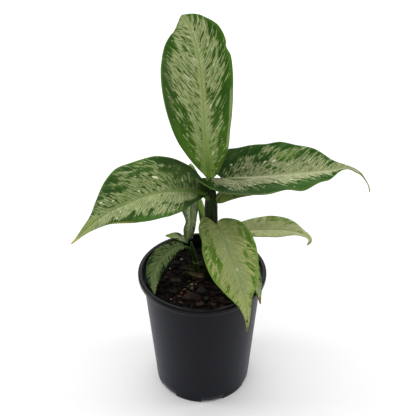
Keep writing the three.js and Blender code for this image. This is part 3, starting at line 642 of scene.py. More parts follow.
leafLooks = {
    "leaf_top": {
        "reach": ([0.3, 0.38, 0.42, 0.57, 0.72, 0.82, 0.84, 0.7, 0.85],
                  [0.45, 0.52, 0.72, 0.46, 0.42, 0.6, 0.86, 0.76, 0.8]),
        "veins": (0.5, 1.15, 0.01), "seed": 3.0, "base": "#66892a", "baseSpan": 0.5, "stalk": "#668a2e",
        # painted light: pale, pale green and the darks are set lighter than the other leaves', for the top
        # light that this upright blade catches less of
        "pale": "#bcc490", "paleGreen": "#82964e", "dark": "#3e651a", "darkDeep": "#2d510f", "blotch": 1.4,
        "slope": (2.8, 1.6), "islands": (0.58, 0.575), "dashes": 0.585, "ragged": 1.4, "grain": (2.7, 10),
        "washes": [(18, 0, 34, 6, 0.7, "#7f9e42"), (70, 0, 60, 3.5, 0.4, "#9cb062"),
                   (100, -36, 60, 8, 0.5, "#42592f"), (176, 0, 16, 40, 0.3, "#7f9a50"),
                   (110, 36, 64, 8, 0.4, "#5a8a28")],
        # the first edge, a pale grey-green strip where the right margin curls back, is partly the margin's
        # own colour and partly painted sheen
        "edges": [(34, 92, 1, 0.87, 0.75, "#93a86a"), (20, 178, -1, 0.965, 0.5, "#67843c"),
                  (95, 178, 1, 0.9, 0.5, "#4c7c1e")],
        "marks": {
            "dark": [(141, -20.8, 4.5, 3.2), (135, -11.2, 2.2, 2.6), (147, -10, 1.5, 2),
                     (140, 5.8, 1.3, 1.6), (125, 6.6, 1.3, 1.8), (151, 3.8, 1.5, 1.6), (146, 17.3, 2.4, 3),
                     (125, 15.3, 2.6, 2.4), (93, 6.6, 2.2, 2.4), (63, 11.6, 5.5, 3.6), (74, -19.9, 4.5, 5),
                     (65, -16.4, 4, 4.5), (43, -13.6, 2.6, 3), (45, 14.8, 4.5, 4), (78, 10.3, 2.2, 2.4)],
            "cream": [(149, 0.9, 0.9, 0.9), (146, -4.3, 1.1, 1.2), (135.5, -8.2, 1, 1.1),
                      (130, -10.4, 1, 1.2), (123.5, -4.7, 1.2, 1), (107, -13.9, 1.1, 2.8),
                      (134, 11.5, 1, 1.2), (116, 13.9, 1, 1.1), (77, 7.4, 1.4, 1.1), (30, 6.5, 1.3, 1)],
            "brown": [(6, -1.2, 1.1, 0.9), (12, 4.7, 1, 0.8)],
        },
    },
    "leaf_left": {
        "reach": ([0.1, 0.55, 0.78, 0.84, 0.72, 0.82, 1.1, 1.2, 1.2],
                  [0.1, 0.45, 0.72, 0.82, 0.8, 0.72, 0.8, 1.1, 1.2]),
        "veins": (-0.3, 0.62, 0.006), "rib": "#6c8446", "shade": [0.35, 0.7, 1, 1, 1, 1, 1], "seed": 11.0,
        "ragged": 1.15, "slope": (2.4, 1.1), "grain": (2.0, 12), "green": (0.0, 0.07), "dark": "#395a16",
        "darkDeep": "#26450c", "tip": "#b3aa4e", "tipStart": 0.93, "lines": 0.75, "islands": (0.66, 0.585),
        "pale": "#a8af80", "washes": [(128, 0, 14, 8, 0.6, "#8b9c4e"), (18, 10, 22, 18, 0.4, "#3c5a1c")],
        "edges": [(82, 104, -1, 0.955, 0.75, "#a09c48"), (10, 78, -1, 0.84, 0.6, "#3f6a1c"),
                  (30, 120, 1, 0.95, 0.6, "#47741e")],
        "marks": {
            "dark": [(80, 18.6, 5, 4), (38, 23, 3.6, 3.2), (54, 27.4, 4, 3), (64, 25.7, 3.4, 3.4),
                     (92.6, 25.5, 4, 2.4), (61.5, -22.3, 2.8, 2.6), (44, -16.2, 2, 1.6),
                     (98, -11.7, 2, 1.6)],
            "cream": [(47.8, 17.1, 1.7, 2), (92, 9.1, 1, 1), (103, 14.1, 1.5, 1), (65, 7.5, 1, 0.9),
                      (89, -7.3, 1, 0.9), (94, -15.1, 0.9, 1)],
        },
    },
    "leaf_right": {
        "reach": ([0.1, 0.42, 0.64, 0.72, 0.7, 0.74, 1, 1.1, 1],
                  [0.64, 0.52, 0.49, 0.5, 0.54, 0.62, 0.78, 0.9, 1]),
        "veins": (0.35, 0.9, 0.006), "shade": [0.45, 0.6, 0.95, 1, 1, 1], "seed": 23.0, "ragged": 1.35,
        "shine": 0.06, "dark": "#3a5f22", "darkDeep": "#24470e", "pale": "#b4b88c", "paleGreen": "#788752",
        "rib": "#aeb48e", "slope": (1.3, 2.2), "grain": (2.0, 14), "green": (0.03, -0.06),
        "stalk": "#6c7c4a", "tip": "#76862e", "tipStart": 0.84, "flecks": (0.76, 0.7),
        "islands": (0.6, 0.66), "rimmed": 0.25,
        "washes": [(72, -23, 13, 7, 0.5, "#5a7a24"), (40, 2, 26, 4, 0.5, "#b4b294"),
                   (50, 25, 60, 8, 0.45, "#486a34")],
        "edges": [(-30, 50, 1, 0.95, 0.7, "#93a86a"), (60, 125, 1, 0.95, 0.5, "#5f8430")],
        "marks": {
            "dark": [(50, -10.8, 3, 2)],
            "cream": [(10.6, -16.9, 1.4, 1.2), (23.8, -12.8, 1.1, 1), (48, -17.2, 1.2, 1.3),
                      (58, -17.4, 1.8, 1.6), (53, 11.3, 1.3, 1.1), (68.5, 11.6, 1.3, 1.1)],
            "brown": [(92, -8.8, 1, 0.8)],
        },
    },
    "leaf_front": {
        "reach": ([0.85, 0.9, 0.86, 0.82, 0.84, 0.9, 0.95, 1.3, 1.3],
                  [0.9, 0.94, 0.9, 0.86, 0.86, 0.95, 1, 1.3, 1.3]),
        "shade": [0.8, 0.9, 1, 1, 1, 1], "seed": 37.0, "dark": "#5e8226", "darkDeep": "#4e741a",
        "pale": "#b2b878", "paleGreen": "#84924c", "rib": "#84965a", "islands": (0.68, 0.68),
        "dashes": 0.64, "lines": 0.3, "ragged": 1.3, "margin": "#7a9838", "tip": "#7b6f2c",
        "tipStart": 0.945,
        "washes": [(4, -14, 22, 14, 0.5, "#6e8240"), (4, 12, 22, 12, 0.4, "#6e8240"),
                   (10, 0, 30, 1.8, 0.5, "#64842f"), (44, 0, 40, 10, 0.5, "#8a9a6a")],
        "edges": [(-10, 90, -1, 0.9, 0.6, "#7d9a3e"), (-10, 90, 1, 0.9, 0.6, "#7d9a3e")],
        "marks": {
            "dark": [(24.6, 15.3, 5, 3.4), (32.5, 16.1, 3.2, 2.6), (40.2, 12.7, 5, 2.2),
                     (45.2, 15.7, 3.4, 1.6), (67.9, 13.1, 3.8, 1.6), (50.1, -13, 2.6, 1.4),
                     (41.4, -16, 4, 2), (67.5, -13.9, 5, 1.4), (18.9, -24.7, 4, 2), (16.6, -18.2, 2.5, 1.5),
                     (13, 12.5, 1.6, 1.2)],
            "cream": [(51.4, -1.2, 1.8, 1)],
            "brown": [(104, 0.2, 1.6, 0.9)],
        },
    },
    "leaf_small": {
        "reach": ([0.8, 0.82, 0.86, 0.84, 0.84, 0.88, 1.0, 1.3, 1.3],
                  [1, 1.1, 1.2, 1.2, 1.2, 1.2, 1.2, 1.3, 1.3]),
        "seed": 41.0, "dark": "#809a48", "darkDeep": "#728c3c", "pale": "#c6ca98", "paleGreen": "#a6ae74",
        "marks": {
            "dark": [(41.5, -11.4, 4, 1.6), (56.5, -9.3, 3.4, 1.4), (68, -1.3, 3, 1)],
            "cream": [(36.3, 9.9, 1.2, 0.9)],
        },
    },
    "leaf_behind": {
        "reach": ([0.9], [0.9]), "seed": 53.0, "tip": "#7a5a30", "tipStart": 0.9,
    },
    "leaf_folded": {
        "seed": 61.0, "under": "#6c7c4e", "tip": "#80983e", "veil": 0.35,
        "tipStart": 0.93, "dark": "#2e4a16", "darkDeep": "#213a0e", "pale": "#b4be98", "ragged": 1.6,
        "margin": "#a4b088", "rimmed": 0.8,
        "washes": [(50, 4, 26, 3, 0.5, "#9aa87c"), (96, -5, 14, 4, 0.6, "#5c7638")],
    },
    "leaf_low": {
        # painted shade: darker greens and a low shade list, for the shadow of the leaves above this one
        "reach": ([0.75, 0.8], [0.7, 0.7]), "seed": 71.0, "shade": [0.6, 0.72, 0.78], "islands": (0.6, 0.6),
        "ragged": 1.4, "pale": "#8c9a66", "paleGreen": "#5f763c", "dark": "#2f4c16", "darkDeep": "#1f370c",
        "stalk": "#263c12", "rib": "#5c7440",
    },
    "leaf_young": {
        "reach": ([-1], [-1]), "seed": 83.0, "dark": "#8ea848", "darkDeep": "#76943a",
        "under": "#7d9a38", "stalk": "#2f4d12", "islands": (2.0, 2.0), "dashes": 2.0,
    },
}


def leafFinish(name, look):
    # dark green with a pale middle, whose score falls from the midrib to the margin; streaks and patches
    # along the side veins break its edge, islands and dashes cut holes in it, and flecks and named marks lie
    # over both; tints of the rib, the margin, the tip and the underside come next, and painted shade, deep
    # green mixed in where the plant shades the blade, comes last
    finish = Finish(name + "Finish", Roughness=0.45, Specular_IOR_Level=look["shine"])
    t, side, kind = finish.attribute("leafPlace")
    start, out, _ = finish.attribute("leafSpan")
    bias, shade, share = finish.attribute("leafTone")
    across = finish.math("ABSOLUTE", side)
    distance = finish.math("ABSOLUTE", out)
    reached = share * look["length"]
    onRight = finish.step(side, -0.02, 0.02)
    half = onRight * 9.0 + look["seed"]
    islands, flecks, slope, green = (look[key][0] + onRight * (look[key][1] - look[key][0])
                                     for key in ("islands", "flecks", "slope", "green"))

    def veined(cross, length, shift, detail=2.0, rough=0.5):
        # noise drawn out along the side veins: cross and length are its size in millimetres
        vector = finish.vector(start * (1 / cross), distance * (1 / length), half + shift)
        return finish.noise(vector, 1.0, detail, rough)

    streaks = veined(*look["grain"], 0.0, 3.0, 0.6)
    patches = veined(9.0, 12.0, 7.0)
    fine = veined(0.85, 0.45 * look["grain"][1], 31.0, 2.0, 0.6)
    fibres = veined(0.55, 9.0, 13.0, 2.0, 0.6)
    spots = veined(2.6, 6.0, 19.0, 1.0)
    specks = veined(1.5, 2.5, 29.0, 0.0)

    def marks(sort, ragged):
        # the strongest of the named marks: each is a soft ellipse lying along its vein
        strongest = 0.0
        for x, y, wide, long in look["marks"].get(sort, []):
            origin = float(veinStart(look, np.array(x, float), np.array(y, float), look["length"]))
            offCross = (start - origin) * (1 / wide)
            offAlong = (out - y) * (1 / long)
            near = 1.25 - offCross * offCross - offAlong * offAlong + (streaks + fine - 1.0) * ragged
            strongest = finish.math("MAXIMUM", near, strongest)
        return finish.step(strongest, 0.2, 0.35) if look["marks"].get(sort) else 0.0

    score = (bias * slope + (streaks - 0.5) * (2.4 * look["ragged"]) + (patches - 0.5) * look["blotch"]
             + (fine - 0.5) * 0.9)
    pale = finish.step(score, -0.03, 0.05)
    clear = finish.step(distance, 1.5, 4.5)
    island = finish.step(spots + (fine - 0.5) * 0.3, islands, islands + 0.03)
    dash = finish.step(veined(1.0, 4.5, 47.0, 1.0), look["dashes"], look["dashes"] + 0.04) * 0.7
    island = finish.math("MAXIMUM", finish.math("MAXIMUM", island, dash) * clear, marks("dark", 5.0))
    pale = finish.math("MULTIPLY", pale, 1 - island, clamp=True)
    fleck = finish.step(specks, flecks, flecks + 0.02) * finish.step(score, -0.5, -0.2)
    fleck = finish.math("MAXIMUM", fleck, marks("cream", 0.8))

    lines = start * (2 * math.pi / 2.7) + (patches - 0.5) * 6.0 + (streaks - 0.5) * 3.0
    lines = finish.math("COSINE", lines)
    lines = finish.step(lines, 0.45, 0.95) * finish.step(veined(16.0, 20.0, 43.0), 0.36, 0.56) * clear
    lighter = finish.step(patches + (fibres - 0.5) * 0.4, 0.35, 0.65)
    darkColour = finish.mix(lighter, look["darkDeep"], look["dark"])
    paler = finish.step(fibres + (fine - 0.5) * 0.5 - green, 0.38, 0.6)
    paleColour = finish.mix(paler, look["paleGreen"], look["pale"])
    paleColour = finish.mix(lines * look["lines"], paleColour, look["dark"])
    colour = finish.mix(pale, darkColour, paleColour)
    if look["baseSpan"]:
        colour = finish.mix(finish.step(share, look["baseSpan"], -0.08) * 0.65, colour, look["base"])
    for x, y, long, wide, strength, shadeOf in look["washes"]:
        offX, offY = (reached - x) * (1 / long), (out - y) * (1 / wide)
        soft = finish.step(offX * offX + offY * offY + (streaks - 0.5) * 1.2, 1.4, 0.3)
        colour = finish.mix(soft * strength, colour, shadeOf)
    colour = finish.mix(fleck, colour, look["cream"])
    colour = finish.mix(finish.step(distance, 1.2, 0.4) * 0.6, colour, look["rib"])
    colour = finish.mix(marks("brown", 0.3), colour, look["brown"])
    # a margin's band in its own colour; on leaf_top's curled right margin it is partly painted sheen
    for first, last, onSide, inner, strength, shadeOf in look["edges"]:
        within = finish.step(reached, first - 5, first + 5) * finish.step(reached, last + 5, last - 5)
        band = finish.step(side * onSide + (streaks - 0.5) * 0.06, inner - 0.02, inner + 0.03)
        colour = finish.mix(within * band * strength, colour, shadeOf)
    colour = finish.mix(finish.step(across, 0.965, 0.99) * look["rimmed"], colour, look["margin"])
    tip = finish.step(share + (streaks - 0.5) * 0.04, look["tipStart"] - 0.02, look["tipStart"] + 0.03)
    colour = finish.mix(tip, colour, look["tip"])
    underside = finish.step(kind, 0.45, 0.55)
    colour = finish.mix(underside, colour, finish.mix(look["veil"], colour, look["under"]))
    stalkColour = finish.mix(finish.step(share, 0.25, 0.55), look["stalk"], look["rib"])
    colour = finish.mix(finish.step(kind, 1.4, 1.6), colour, stalkColour)
    wingColour = finish.mix(finish.step(streaks, 0.35, 0.65) * 0.3, look["wing"], look["rib"])
    colour = finish.mix(finish.step(kind, 2.4, 2.6), colour, wingColour)
    # painted shade: the colour mixed towards deep green where the blade's shade value is low, standing in
    # for the plant's own shadow
    colour = finish.mix(1 - shade, colour, look["deep"])
    finish.colour(colour)
    finish.roughness(0.42 + 0.14 * fibres)
    finish.bump(fibres * 0.5 + streaks * 0.3 - lines * 0.25, 0.3, 0.0004)
    return finish


for name, shape in leafShapes.items():
    leaf = dict(commonShape, **shape)
    look = dict(commonLook, **leafLooks[name])
    look["length"] = arcLengths(smoothCurve(leaf["midrib"]))[-1]
    widest = max(max(widths) for _, *widths in leaf["outline"])
    grade = bladeGrades["small" if widest < leafForm["smallWidth"] else "large"]
    shells = [bladeShell(leaf, look, **grade)] + petioleShells(leaf)
    addPiece(pieceName(name), shells, leafFinish(name, look), [name])

print("pot")

potShape = {
    "height": 150, "rimRadius": 70, "lipWidth": 5, "lipHeight": 6.5, "lipRoundOut": 2, "lipRoundIn": 1.5,
    "shoulderRadius": 64.5, "baseRadius": 54, "wall": 1.8, "floor": 4.8,
    "drains": 6, "drainWidth": 25, "drainHeight": 3.5, "drainDepth": 4.5, "firstDrain": -78,
}
# lipFrom: heights over which the wall turns into the glossier lip; insideFrom: radii at the base, over
# which the outside turns into the glossier inside, both in metres
potLook = {
    "dark": "#04050d", "light": "#0b0d18", "dust": "#6a6a6c", "gloss": "#050506",
    "lipFrom": (0.1445, 0.1475), "insideFrom": (0.0535, 0.0525),
}


def wallRadius(height):
    # the radius grows evenly from the base to the shoulder under the lip
    share = height / (potShape["height"] - potShape["lipHeight"])
    return potShape["baseRadius"] + (potShape["shoulderRadius"] - potShape["baseRadius"]) * share


def potRings():
    # a profile of radius and height turned about the axis; under the drains' height the wall steps in to a
    # flat face between the two sides of each notch
    keys = ("height", "rimRadius", "baseRadius", "wall", "floor", "drains", "drainHeight")
    top, rim, base, wall, floorTop, drains, drainTop = (potShape[key] for key in keys)
    inside, lipBase = rim - potShape["lipWidth"], top - potShape["lipHeight"]
    outer, inner = potShape["lipRoundOut"], potShape["lipRoundIn"]
    under = [(30, 0), (46, 0), (52.8, 0), (53.6, 0.25), (wallRadius(0) - 0.05, 0.9),
             (wallRadius(drainTop), drainTop - 0.02)]
    outside = [(wallRadius(z), z) for z in np.linspace(drainTop + 0.02, lipBase - 1.2, 24)]
    collar = [(wallRadius(lipBase - 0.4) + 0.15, lipBase - 0.4), (wallRadius(lipBase) + 0.8, lipBase),
              (rim - 1.0, lipBase), (rim - 0.3, lipBase + 0.3), (rim, lipBase + 1.0)]
    roundOut = [(rim - outer + outer * math.sin(a), top - outer + outer * math.cos(a))
                for a in np.linspace(math.pi / 2, 0, 7)]
    roundIn = [(inside + inner - inner * math.sin(a), top - inner + inner * math.cos(a))
               for a in np.linspace(0, math.pi / 2, 6)]
    throat = [(inside, top - 3.5), (inside - 0.5, top - 5.5),
              (wallRadius(lipBase - 2) - wall + 0.3, lipBase - 1.2),
              (wallRadius(lipBase - 4) - wall, lipBase - 4)]
    within = [(wallRadius(z) - wall, z) for z in np.linspace(lipBase - 12, floorTop + 1, 8)]
    floorRing = [(wallRadius(floorTop) - wall - 1, floorTop), (30, floorTop)]
    profile = np.array(under + outside + collar + roundOut + roundIn + throat + within + floorRing)
    sector = 2 * np.pi / drains
    edge = math.asin(potShape["drainWidth"] / 2 / base)
    inDrain = np.linspace(-edge + 0.001, edge - 0.001, 17)
    between = np.linspace(edge + 0.001, sector - edge - 0.001, 23)
    local = np.tile(np.concatenate([inDrain, between]), drains)
    turns = np.repeat(np.arange(drains) * sector, len(inDrain) + len(between))
    angles = math.radians(potShape["firstDrain"]) + turns + local
    radius = np.repeat(profile[:, :1], len(angles), axis=1)
    height = np.repeat(profile[:, 1:], len(angles), axis=1)
    flat = (base - potShape["drainDepth"]) / np.cos(local)
    low = (np.arange(len(profile)) < len(under))[:, None] & (np.abs(local) < edge)[None, :]
    radius = np.where(low, np.minimum(radius, flat), radius)
    return np.stack([radius * np.cos(angles), radius * np.sin(angles), height], -1)


# charcoal plastic with pale specks and level scuffs, glossier on the lip and inside
finish = Finish("charcoalPlastic", Specular_IOR_Level=0.13, Sheen_Weight=0.13, Sheen_Roughness=0.35,
                Sheen_Tint="#d4dcf8")
vector, (x, y, z) = finish.place()
mottle = finish.noise(vector, 90.0, 3.0, 0.6)
dust = finish.step(finish.noise(vector, 520.0, 1.0, 0.4), 0.76, 0.82)
scuff = finish.noise(finish.vector(x * 60, y * 60, z * 420), 1.0, 3.0, 0.6)
outward = finish.math("SQRT", x * x + y * y)
wallSlope = wallRadius(1) - wallRadius(0)
within = finish.step(outward - z * wallSlope, *potLook["insideFrom"])
glossy = finish.math("MAXIMUM", finish.step(z, *potLook["lipFrom"]), within)
colour = finish.mix(mottle, potLook["dark"], potLook["light"])
colour = finish.mix(dust * 0.3, colour, potLook["dust"])
finish.colour(finish.mix(glossy, colour, potLook["gloss"]))
finish.roughness(0.36 + 0.08 * mottle + 0.06 * scuff - 0.26 * glossy)
pitted = finish.noise(vector, 700.0, 2.0, 0.5) + 1.5 * finish.noise(vector, 45.0, 1.0, 0.5)
finish.bump(pitted, 0.1, 0.0008)
addPiece("nurseryPot", [closedTube(potRings())], finish, ["pot"])

print("soil")

# foot: radius and height of the hidden rings under the surface; surface: its outer and inner radius and
# number of rings; sink: how far it lies under the height that the bits lie on;
# ripples: seed, number, shortest and longest wave, height; mound: height and reach; dips: depth, turn along
# x, start, turn along y; swell: height, turn along x and y; stems: places that the bits keep clear of
soilShape = {
    "level": 135, "edge": 62.0, "foot": [(52.0, 6.0), (59.5, 118.0)], "surface": (61.3, 1.0, 110),
    "sides": 280, "sink": 0.6, "ripples": [(3, 40, 2.5, 9, 0.5), (4, 16, 1.2, 2.5, 0.16)],
    "mound": (0.8, 22), "dips": (0.9, 0.17, 1.1, 0.21), "swell": (0.5, 0.45, 0.37),
    "stems": [(8.5, 4), (-6.4, 16)], "stemClear": 10.5, "wallClear": 3.0,
}


def ripple(x, y, seed, count, shortest, longest, height):
    # a sum of sine waves whose directions, lengths and starts are drawn at random
    draw = np.random.default_rng(seed)
    total = np.zeros_like(x)
    for _ in range(count):
        angle, start = draw.uniform(0, 2 * np.pi, 2)
        length = draw.uniform(shortest, longest)
        total += np.sin(2 * np.pi * (x * np.cos(angle) + y * np.sin(angle)) / length + start)
    return height * total / math.sqrt(count)


def soilHeight(x, y):
    # a cosine of the distance from the axis, a product of two slow waves and a swell askew to them
    high, reach = soilShape["mound"]
    mound = high * np.cos(np.hypot(x, y) / reach)
    deep, alongX, start, alongY = soilShape["dips"]
    dips = deep * np.sin(alongX * x + start) * np.cos(alongY * y)
    high, alongX, alongY = soilShape["swell"]
    return soilShape["level"] + mound + dips + high * np.sin(alongX * x - alongY * y)


def soilRings():
    # circles that close in from the wall to the middle, at the soil's height plus its ripples
    foot = np.array(soilShape["foot"])
    radius = np.concatenate([foot[:, 0], np.linspace(*soilShape["surface"])])
    angle = np.linspace(0, 2 * np.pi, soilShape["sides"], endpoint=False)
    r, a = np.meshgrid(radius, angle, indexing="ij")
    x, y = r * np.cos(a), r * np.sin(a)
    z = soilHeight(x, y) - soilShape["sink"]
    for waves in soilShape["ripples"]:
        z = z + ripple(x, y, *waves)
    z[:len(foot)] = foot[:, 1:]
    return np.stack([x, y, z], -1)


finish = Finish("barkMix", Roughness=0.85, Specular_IOR_Level=0.1)
vector, _ = finish.place()
crumbs = finish.noise(vector, 300.0, 5.0, 0.65)
patch = finish.noise(vector, 60.0, 3.0, 0.5)
soilTones = [(0.3, "#070605"), (0.52, "#120d0a"), (0.64, "#21170f"), (0.8, "#3d2c1e")]
finish.colour(finish.mix(patch * 0.7, finish.tones(crumbs, soilTones), "#0a0807"))
finish.bump(crumbs, 0.9, 0.0012)
addPiece("barkMix", [closedTube(soilRings())], finish, ["soil"])

# half sizes of the smallest and the largest bit, power: how rare large ones are, tilt: how far they lean,
# tones: colours from the darkest bit to the lightest
strewnBits = {
    "soilCrumbs": {
        "count": 900, "smallest": (0.7, 0.6, 0.5), "largest": (2.6, 1.8, 1.2), "power": 2.5, "tilt": 0.5,
        "placeSeed": 8, "shapeSeed": 21, "rings": 4, "sides": 7, "finish": "crumbs", "darkest": "#050403",
        "tones": [(0, "#070504"), (0.5, "#0f0b08"), (0.85, "#1c140e"), (0.95, "#35281e"), (1, "#6a5a48")],
    },
    "barkChips": {
        "count": 70, "smallest": (2.4, 1.8, 1.2), "largest": (6.5, 4.2, 2.2), "power": 1.4, "tilt": 0.25,
        "placeSeed": 5, "shapeSeed": 22, "rings": 7, "sides": 12, "finish": "barkChip",
        "darkest": "#090605",
        "tones": [(0, "#0f0b09"), (0.45, "#18110e"), (0.8, "#201410"), (1, "#2e1d18")],
    },
}


def blunt(value, power):
    # a value raised to a power, with its sign kept
    return np.sign(value) * np.abs(value) ** power


def bits(place, size, turns, seed, rings, sides, tint=None):
    # rounded blocks, a cosine raised to a power under one along each side, made uneven, tilted and turned.
    # place: x, y and how far the middle stands over the soil, turns: yaw, pitch and roll
    draw = np.random.default_rng(seed)
    count = len(place)
    v = np.linspace(-np.pi / 2, np.pi / 2, rings + 2)[1:-1]
    v, u = np.meshgrid(v, np.linspace(0, 2 * np.pi, sides, endpoint=False), indexing="ij")
    girth = blunt(np.cos(v), 0.4)
    x, y, z = girth * blunt(np.cos(u), 0.5), girth * blunt(np.sin(u), 0.5), blunt(np.sin(v), 0.5)
    ball = np.vstack([np.stack([x, y, z], -1).reshape(-1, 3), (0, 0, -1), (0, 0, 1)])
    depth = draw.uniform(-0.32, 0.32, (count, 1, 3))
    uneven = depth * np.sin(3 * ball[None][..., [1, 2, 0]] + draw.uniform(0, 6, (count, 1, 3)))
    shaped = ball[None] * size[:, None] * (1 + uneven)
    (cy, cp, cr), (sy, sp, sr) = np.cos(turns.T), np.sin(turns.T)
    turn = np.stack([cy * cp, cy * sp * sr - sy * cr, cy * sp * cr + sy * sr,
                     sy * cp, sy * sp * sr + cy * cr, sy * sp * cr - cy * sr,
                     -sp, cp * sr, cp * cr], -1).reshape(-1, 3, 3)
    placed = np.einsum("nij,nkj->nki", turn, shaped)
    middle = np.stack([place[:, 0], place[:, 1], soilHeight(place[:, 0], place[:, 1]) + place[:, 2]], -1)
    placed = placed + middle[:, None]
    tint = draw.uniform(0, 1, (count, 3)) if tint is None else tint
    inside = np.hypot(placed[..., 0], placed[..., 1]).max(1) < soilShape["edge"] - 0.2
    faces = tubeFaces(rings, sides)
    chosen = zip(placed[inside], tint[inside])
    return [(bit, faces, {"tint": np.tile(shade, (len(bit), 1))}) for bit, shade in chosen]


def strewn(kind):
    # places drawn evenly over the soil and pushed clear of the stems, with sizes that are mostly small
    draw = np.random.default_rng(kind["placeSeed"])
    count = kind["count"]
    radius = (soilShape["edge"] - soilShape["wallClear"]) * np.sqrt(draw.uniform(0, 1, count))
    angle = draw.uniform(0, 2 * np.pi, count)
    x, y = radius * np.cos(angle), radius * np.sin(angle)
    for stemX, stemY in soilShape["stems"]:
        away = np.hypot(x - stemX, y - stemY)
        push = np.maximum(soilShape["stemClear"] / np.maximum(away, 0.5), 1)
        x, y = stemX + (x - stemX) * push, stemY + (y - stemY) * push
    big = draw.uniform(0, 1, count) ** kind["power"]
    smallest, largest = np.array(kind["smallest"]), np.array(kind["largest"])
    size = (smallest + (largest - smallest) * big[:, None]) * draw.uniform(0.75, 1.3, (count, 3))
    place = np.stack([x, y, 0.15 * size[:, 2] - 0.3], -1)
    yaw = draw.uniform(0, 2 * np.pi, count)
    turns = np.stack([yaw, draw.normal(0, kind["tilt"], count), draw.normal(0, kind["tilt"], count)], -1)
    return bits(place, size, turns, kind["shapeSeed"], kind["rings"], kind["sides"])


for name, kind in strewnBits.items():
    finish = Finish(kind["finish"], Roughness=0.8, Specular_IOR_Level=0.12)
    vector, _ = finish.place()
    tone, _, _ = finish.attribute("tint")
    grain = finish.noise(vector, 480.0, 4.0, 0.6)
    darker = finish.step(grain, 0.35, 0.7) * 0.6
    finish.colour(finish.mix(darker, finish.tones(tone, kind["tones"]), kind["darkest"]))
    finish.bump(grain, 0.7, 0.0008)
    addPiece(name, strewn(kind), finish)

# bits: x, y, half length, half breadth, half height, yaw, colour; roots: x and y along each
singles = {
    "seed": 31, "rings": 9, "sides": 14, "rootRadii": [0.3, 0.35, 0.2], "rootGrid": (7, 24),
    "rootRise": 0.9, "rootColour": "#4e3e2a",
    "bits": [
        (-24.2, 37.2, 1.3, 0.9, 0.7, 0.4, "#9c9078"), (-36.4, 19.7, 0.9, 0.8, 0.7, 1.9, "#8c8068"),
        (-31.9, 30.8, 3.6, 0.7, 0.6, 0.1, "#6a4e2c"), (-10.1, -8.7, 3.6, 2.4, 0.9, -0.5, "#7c6c52"),
        (-11, -16.5, 2.4, 1.6, 0.6, 1.3, "#4c4c30"), (-15.5, -13, 2.2, 1.2, 0.5, -0.5, "#3c3824"),
        (-21.9, -22.9, 1.1, 1.1, 1.1, 0, "#a04414"), (-25, -27, 2.4, 0.6, 0.5, -0.3, "#8a6a44"),
        (-19, -17.5, 2.6, 0.7, 0.5, 0.7, "#6e5638"), (-28.5, -21, 1.6, 0.7, 0.5, 1.1, "#5e462c"),
        (-12.9, -28, 6.6, 5.0, 1.9, 0.3, "#281a15"), (-0.5, -20.5, 5.2, 4.6, 1.8, 1.0, "#1b1716"),
        (-2.1, -42, 4.2, 2.8, 1.8, 0.2, "#3c241c"), (4.5, -33.5, 2.6, 2.2, 1.0, 0.8, "#201e1c"),
        (-29, -4, 6.5, 4.0, 1.6, -0.2, "#241810"), (-33, -33, 1.0, 0.8, 0.5, 0.5, "#8a7c64"),
        (-22, -38, 3.4, 1.0, 0.7, -0.7, "#4c3a26"), (21, -24, 3.8, 2.6, 1.2, 0.5, "#33261c"),
        (-40, 4, 2.8, 1.8, 1.0, 0.9, "#2c2018"), (12, -42, 3.0, 2.0, 1.1, -0.4, "#30241a"),
    ],
    "roots": [
        [(10, -33), (15, -30), (20, -31), (25, -36)], [(13, -37), (18, -34.5), (24, -39), (28, -37)],
        [(5, -41), (10, -38), (15, -40)], [(-27, -31), (-22, -29), (-19, -32)],
        [(-17, -20), (-14, -23), (-9, -22)],
    ],
}
finish = Finish("singleBits", Roughness=0.7, Specular_IOR_Level=0.2)
vector, _ = finish.place()
colour = finish.vector(*finish.attribute("tint"))
grain = finish.noise(vector, 600.0, 4.0, 0.6)
darker = finish.step(grain, 0.4, 0.7) * 0.5
finish.colour(finish.mix(darker, colour, "#120d09"))
finish.bump(grain, 0.6, 0.0006)
rows = np.array([bit[:6] for bit in singles["bits"]])
tints = np.array([linear(bit[6])[:3] for bit in singles["bits"]])
flat = np.zeros(len(rows))
onSoil = np.stack([rows[:, 0], rows[:, 1], 0.35 * rows[:, 4]], -1)
turns = np.stack([rows[:, 5], flat, flat], -1)
shells = bits(onSoil, rows[:, 2:5], turns, singles["seed"], singles["rings"], singles["sides"], tints)
for root in singles["roots"]:
    path = [(x, y, soilHeight(x, y) + singles["rootRise"]) for x, y in root]
    points, faces, _ = closedTube(stalkRings(path, singles["rootRadii"], *singles["rootGrid"]))
    shells.append((points, faces, {"tint": np.tile(linear(singles["rootColour"])[:3], (len(points), 1))}))
addPiece("singleBits", shells, finish)

print("stems and dry sheaths")

# rings: heights of the nodes; paleRing: height at which the pale edge of an old sheath goes round, in
# metres
stems = {
    "main_cane": {
        "points": [(8.5, 4, 108), (8.5, 4, 150), (9.4, 4, 200), (9.4, 4, 249)],
        "radii": [7.2, 7.6, 7.8, 7.6, 7.7, 7.5, 7.3, 6.8, 5],
        "rings": [146, 158, 172, 187, 205, 227],
        "sides": 72, "steps": 220, "skin": "caneSkin",
        # the cane's greens are very dark, most of all below 0.2 metres: partly its own colour and partly
        # painted shade for the leaves over it
        "dark": "#0c1404", "light": "#16230a", "upperDark": "#121e07", "upperLight": "#263814",
        "dry": "#2a2414",
    },
    "side_shoot": {
        "points": [(-6, 16, 108), (-7, 16, 145), (-11, 15, 168), (-12, 15.5, 175)],
        "radii": [3.6, 3.6, 3.4, 3.5, 3, 2.4, 1.4],
        "rings": [147, 153, 164],
        "sides": 40, "steps": 120, "skin": "shootSkin",
        "dark": "#20340f", "light": "#38521f", "upperDark": "#263c12", "upperLight": "#405c26",
        "dry": "#3a331d", "paleRing": 0.1455,
    },
}
